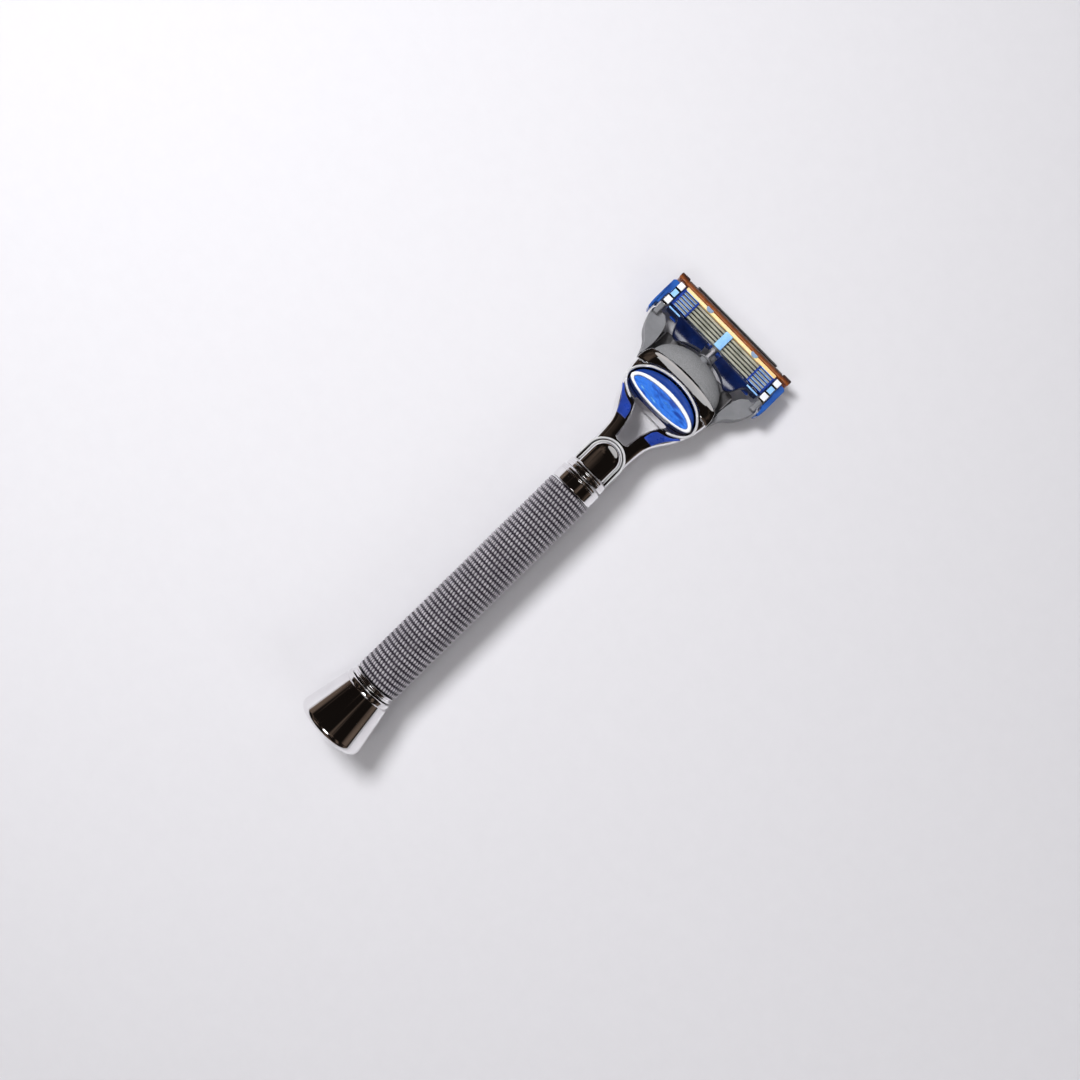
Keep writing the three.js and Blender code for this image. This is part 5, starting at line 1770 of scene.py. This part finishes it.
    def tabs(self) -> bpy.types.Object:
        """Two round-backed tabs that hold the strip down."""
        solid = Solid()
        outline = [(9.6, 54.32), (7.4, 54.32)] + arc(8.5, 53.9, 1.1, 0.75, 180, 360, 16)
        top = solid.slab(outline, 4.9, 5.3)
        solid.rounded(top, 0.12, 3)
        solid.mirrored()
        tag = Tag("strip_tabs", self.body, "blue_plastic")
        return publish(solid, tag, Finishes.TAB, Place.HEAD, 40)

    def holder(self) -> bpy.types.Object:
        """The cap that holds the strip: a rounded bar with raised blocks at its ends."""
        solid = Solid()
        half, near, far = self.cap_half - 0.05, self.cap_start + 0.02, self.cap_end - 0.45
        solid.block((-half, near, 0.55), (half, far, 4.95), 0.5)
        solid.block((-17.7, self.cap_start + 0.5, 0.6), (17.7, self.cap_end - 0.02, 4.3), 0.35)
        for side in (-1, 1):
            x0, x1 = sorted((side * 17.8, side * (self.cap_half - 0.02)))
            solid.block((x0, self.cap_start + 0.05, 0.6), (x1, self.cap_end - 0.02, 5.15), 0.4)
        tag = Tag("holder_bar", self.body, "copper_plastic", ("strip_holder",))
        return publish(solid, tag, Finishes.COPPER, Place.HEAD, 40)

    def trimmer_edge(self) -> bpy.types.Object:
        """The guard of the trimmer blade, toothed along its edge."""
        solid = Solid()
        solid.block((-14.95, 54.45, -1.35), (14.95, 56.3, 0.15), 0.25)
        for i in range(self.tooth_count):
            x = self.tooth_span * (i / (self.tooth_count - 1) - 0.5)
            solid.block((x - 0.3, 56.0, -1.3), (x + 0.3, 56.85, 0.05), 0.1)
        tag = Tag("trimmer_teeth", self.body, "navy_plastic", ("trimmer_guard",))
        return publish(solid, tag, Finishes.SMOKE, Place.HEAD, 40)


# --------------------------------------------------------------------------- carried-over nodes
CARRIED: dict[str, Finishes] = {
    "foot_pad": Finishes.BLACK,
    "foot_screw": Finishes.STEEL,
    "seal_lower": Finishes.BLACK,
    "seal_upper": Finishes.BLACK,
    "tie_rod": Finishes.STEEL,
    "balance_weight": Finishes.BRASS,
    "coupling_nut": Finishes.STEEL,
    "button_spring": Finishes.STEEL,
    "ejector_fork": Finishes.WHITE,
    "trimmer_blade": Finishes.STEEL,
    **{f"blade_{i}": Finishes.BLADE for i in range(1, 6)},
}


def dress_carried() -> None:
    """Gives every carried-over CAD node its finish."""
    for name, finish in CARRIED.items():
        node = frame["nodes"][name]
        node.data.materials.clear()
        node.data.materials.append(finish.material())
        LOG.info("%s keeps its CAD shape, in %s", name, finish.name.lower())


# --------------------------------------------------------------------------- studio
@dataclass
class Studio:
    """Pale floor, a bright horizon under a dark ceiling, one soft key light and the camera."""

    floor_half: float = 3.0
    eye: tuple[float, float, float] = (0.0036, 0.0763, 0.325)
    roll: float = 45.5
    lens: float = 40.6
    horizon: float = 0.80
    ceiling: float = 0.15
    sky_rise: float = 0.08
    sky_tint: tuple[float, float, float, float] = (0.97, 0.97, 1.0, 1.0)
    cloud_scale: float = 2.6
    cloud_detail: float = 3.0
    cloud_stops: tuple[tuple[float, tuple[float, float, float, float]], ...] = (
        (0.50, (0.045, 0.034, 0.028, 1.0)),
        (0.70, (1.0, 0.72, 0.55, 1.0)),
    )
    target: tuple[float, float, float] = (0.0, 0.08, 0.0)
    fill_watts: float = 3.0
    key_watts: float = 3.85
    rim_watts: float = 0.55
    front_watts: float = 0.26
    back_watts: float = 0.42

    def build(self, low: Sequence[float]) -> None:
        """Sets up the whole studio over a floor at the object's lowest point.

        Args:
            low: the lowest corner of the object's box, in metres.
        """
        self.floor(low[2])
        self.sky()
        self.lamps()
        self.camera()
        bpy.context.scene.view_settings.view_transform = "Standard"

    def floor(self, height: float) -> None:
        """A wide pale floor at a height.

        Args:
            height: the floor's height, in metres.
        """
        bm = bmesh.new()
        bmesh.ops.create_grid(bm, x_segments=1, y_segments=1, size=self.floor_half)
        bmesh.ops.translate(bm, vec=(0, 0, height), verts=bm.verts[:])
        mesh = bpy.data.meshes.new("studio_floor")
        bm.to_mesh(mesh)
        bm.free()
        mesh.materials.append(Finishes.PAPER.material())
        floor = bpy.data.objects.new("studio_floor", mesh)
        bpy.context.scene.collection.objects.link(floor)
        floor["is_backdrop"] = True

    def sky(self) -> None:
        """A world that is dark overhead and bright towards the horizon."""
        world = bpy.data.worlds.new("studio_sky")
        bpy.context.scene.world = world
        world.use_nodes = True
        tree = world.node_tree
        tree.nodes.clear()
        place = tree.nodes.new("ShaderNodeTexCoord")
        parts = tree.nodes.new("ShaderNodeSeparateXYZ")
        ramp = tree.nodes.new("ShaderNodeMapRange")
        light = tree.nodes.new("ShaderNodeBackground")
        out = tree.nodes.new("ShaderNodeOutputWorld")
        ramp.interpolation_type = "SMOOTHSTEP"
        for index, value in enumerate((0.0, self.sky_rise, self.horizon, self.ceiling), 1):
            ramp.inputs[index].default_value = value
        clouds = tree.nodes.new("ShaderNodeTexNoise")
        clouds.inputs["Scale"].default_value = self.cloud_scale
        clouds.inputs["Detail"].default_value = self.cloud_detail
        tint = tree.nodes.new("ShaderNodeValToRGB")
        for stop, (position, colour) in zip(tint.color_ramp.elements, self.cloud_stops):
            stop.position = position
            stop.color = colour
        mix = tree.nodes.new("ShaderNodeMix")
        mix.data_type = "RGBA"
        mix.inputs[7].default_value = self.sky_tint
        share = tree.nodes.new("ShaderNodeMapRange")
        share.inputs[1].default_value = self.sky_rise
        share.inputs[2].default_value = 0.0
        tree.links.new(place.outputs["Generated"], clouds.inputs["Vector"])
        tree.links.new(clouds.outputs["Fac"], tint.inputs[0])
        tree.links.new(parts.outputs["Z"], share.inputs[0])
        tree.links.new(share.outputs[0], mix.inputs[0])
        tree.links.new(tint.outputs["Color"], mix.inputs[6])
        tree.links.new(mix.outputs[2], light.inputs["Color"])
        tree.links.new(place.outputs["Generated"], parts.inputs[0])
        tree.links.new(parts.outputs["Z"], ramp.inputs[0])
        tree.links.new(ramp.outputs[0], light.inputs["Strength"])
        tree.links.new(light.outputs[0], out.inputs["Surface"])

    def lamps(self) -> None:
        """A soft key light, a low rim light, a wide fill and two cards that polished metal mirrors."""
        self._lamp("key", (-0.32, 0.14, 0.52), 0.20, self.key_watts)
        self._lamp("rim", (0.45, 0.02, 0.30), 0.30, self.rim_watts)
        self._lamp("fill", (0.0, 0.08, 1.1), 1.5, self.fill_watts)
        self._lamp("front_card", (0.06, 0.66, 0.44), 0.46, self.front_watts, mirrored=True)
        self._lamp("back_card", (0.0, -0.26, 0.50), 0.20, self.back_watts, mirrored=True)

    def _lamp(
        self,
        name: str,
        spot: tuple[float, float, float],
        size: float,
        watts: float,
        mirrored: bool = False,
    ) -> None:
        """Hangs a round area light that points at the razor.

        Args:
            name: the lamp's name.
            spot: where it hangs.
            size: its diameter.
            watts: its power.
            mirrored: whether polished metal shows it.
        """
        data = bpy.data.lights.new(name, "AREA")
        data.shape = "DISK"
        data.size = size
        data.energy = watts
        lamp = bpy.data.objects.new(name, data)
        lamp.location = spot
        aim = Vector(self.target) - Vector(spot)
        lamp.rotation_euler = aim.to_track_quat("-Z", "Y").to_euler()
        lamp.visible_glossy = mirrored
        bpy.context.scene.collection.objects.link(lamp)

    def camera(self) -> None:
        """A camera that looks straight down."""
        data = bpy.data.cameras.new("camera")
        data.lens = self.lens
        data.sensor_width = 36.0
        camera = bpy.data.objects.new("camera", data)
        camera.location = self.eye
        camera.rotation_euler = (0.0, 0.0, math.radians(self.roll))
        bpy.context.scene.collection.objects.link(camera)
        bpy.context.scene.camera = camera


def main() -> None:
    """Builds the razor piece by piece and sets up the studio."""
    logging.basicConfig(level=logging.INFO, format="%(message)s")
    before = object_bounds()
    for part in (Handle(), Yoke(), ReleaseButton(), Carrier(), Cartridge()):
        made = part.build()
        LOG.info("%s: %d pieces", type(part).__name__, len(made))
    dress_carried()
    Studio().build(before[0])


if __name__ == "__main__":
    main()
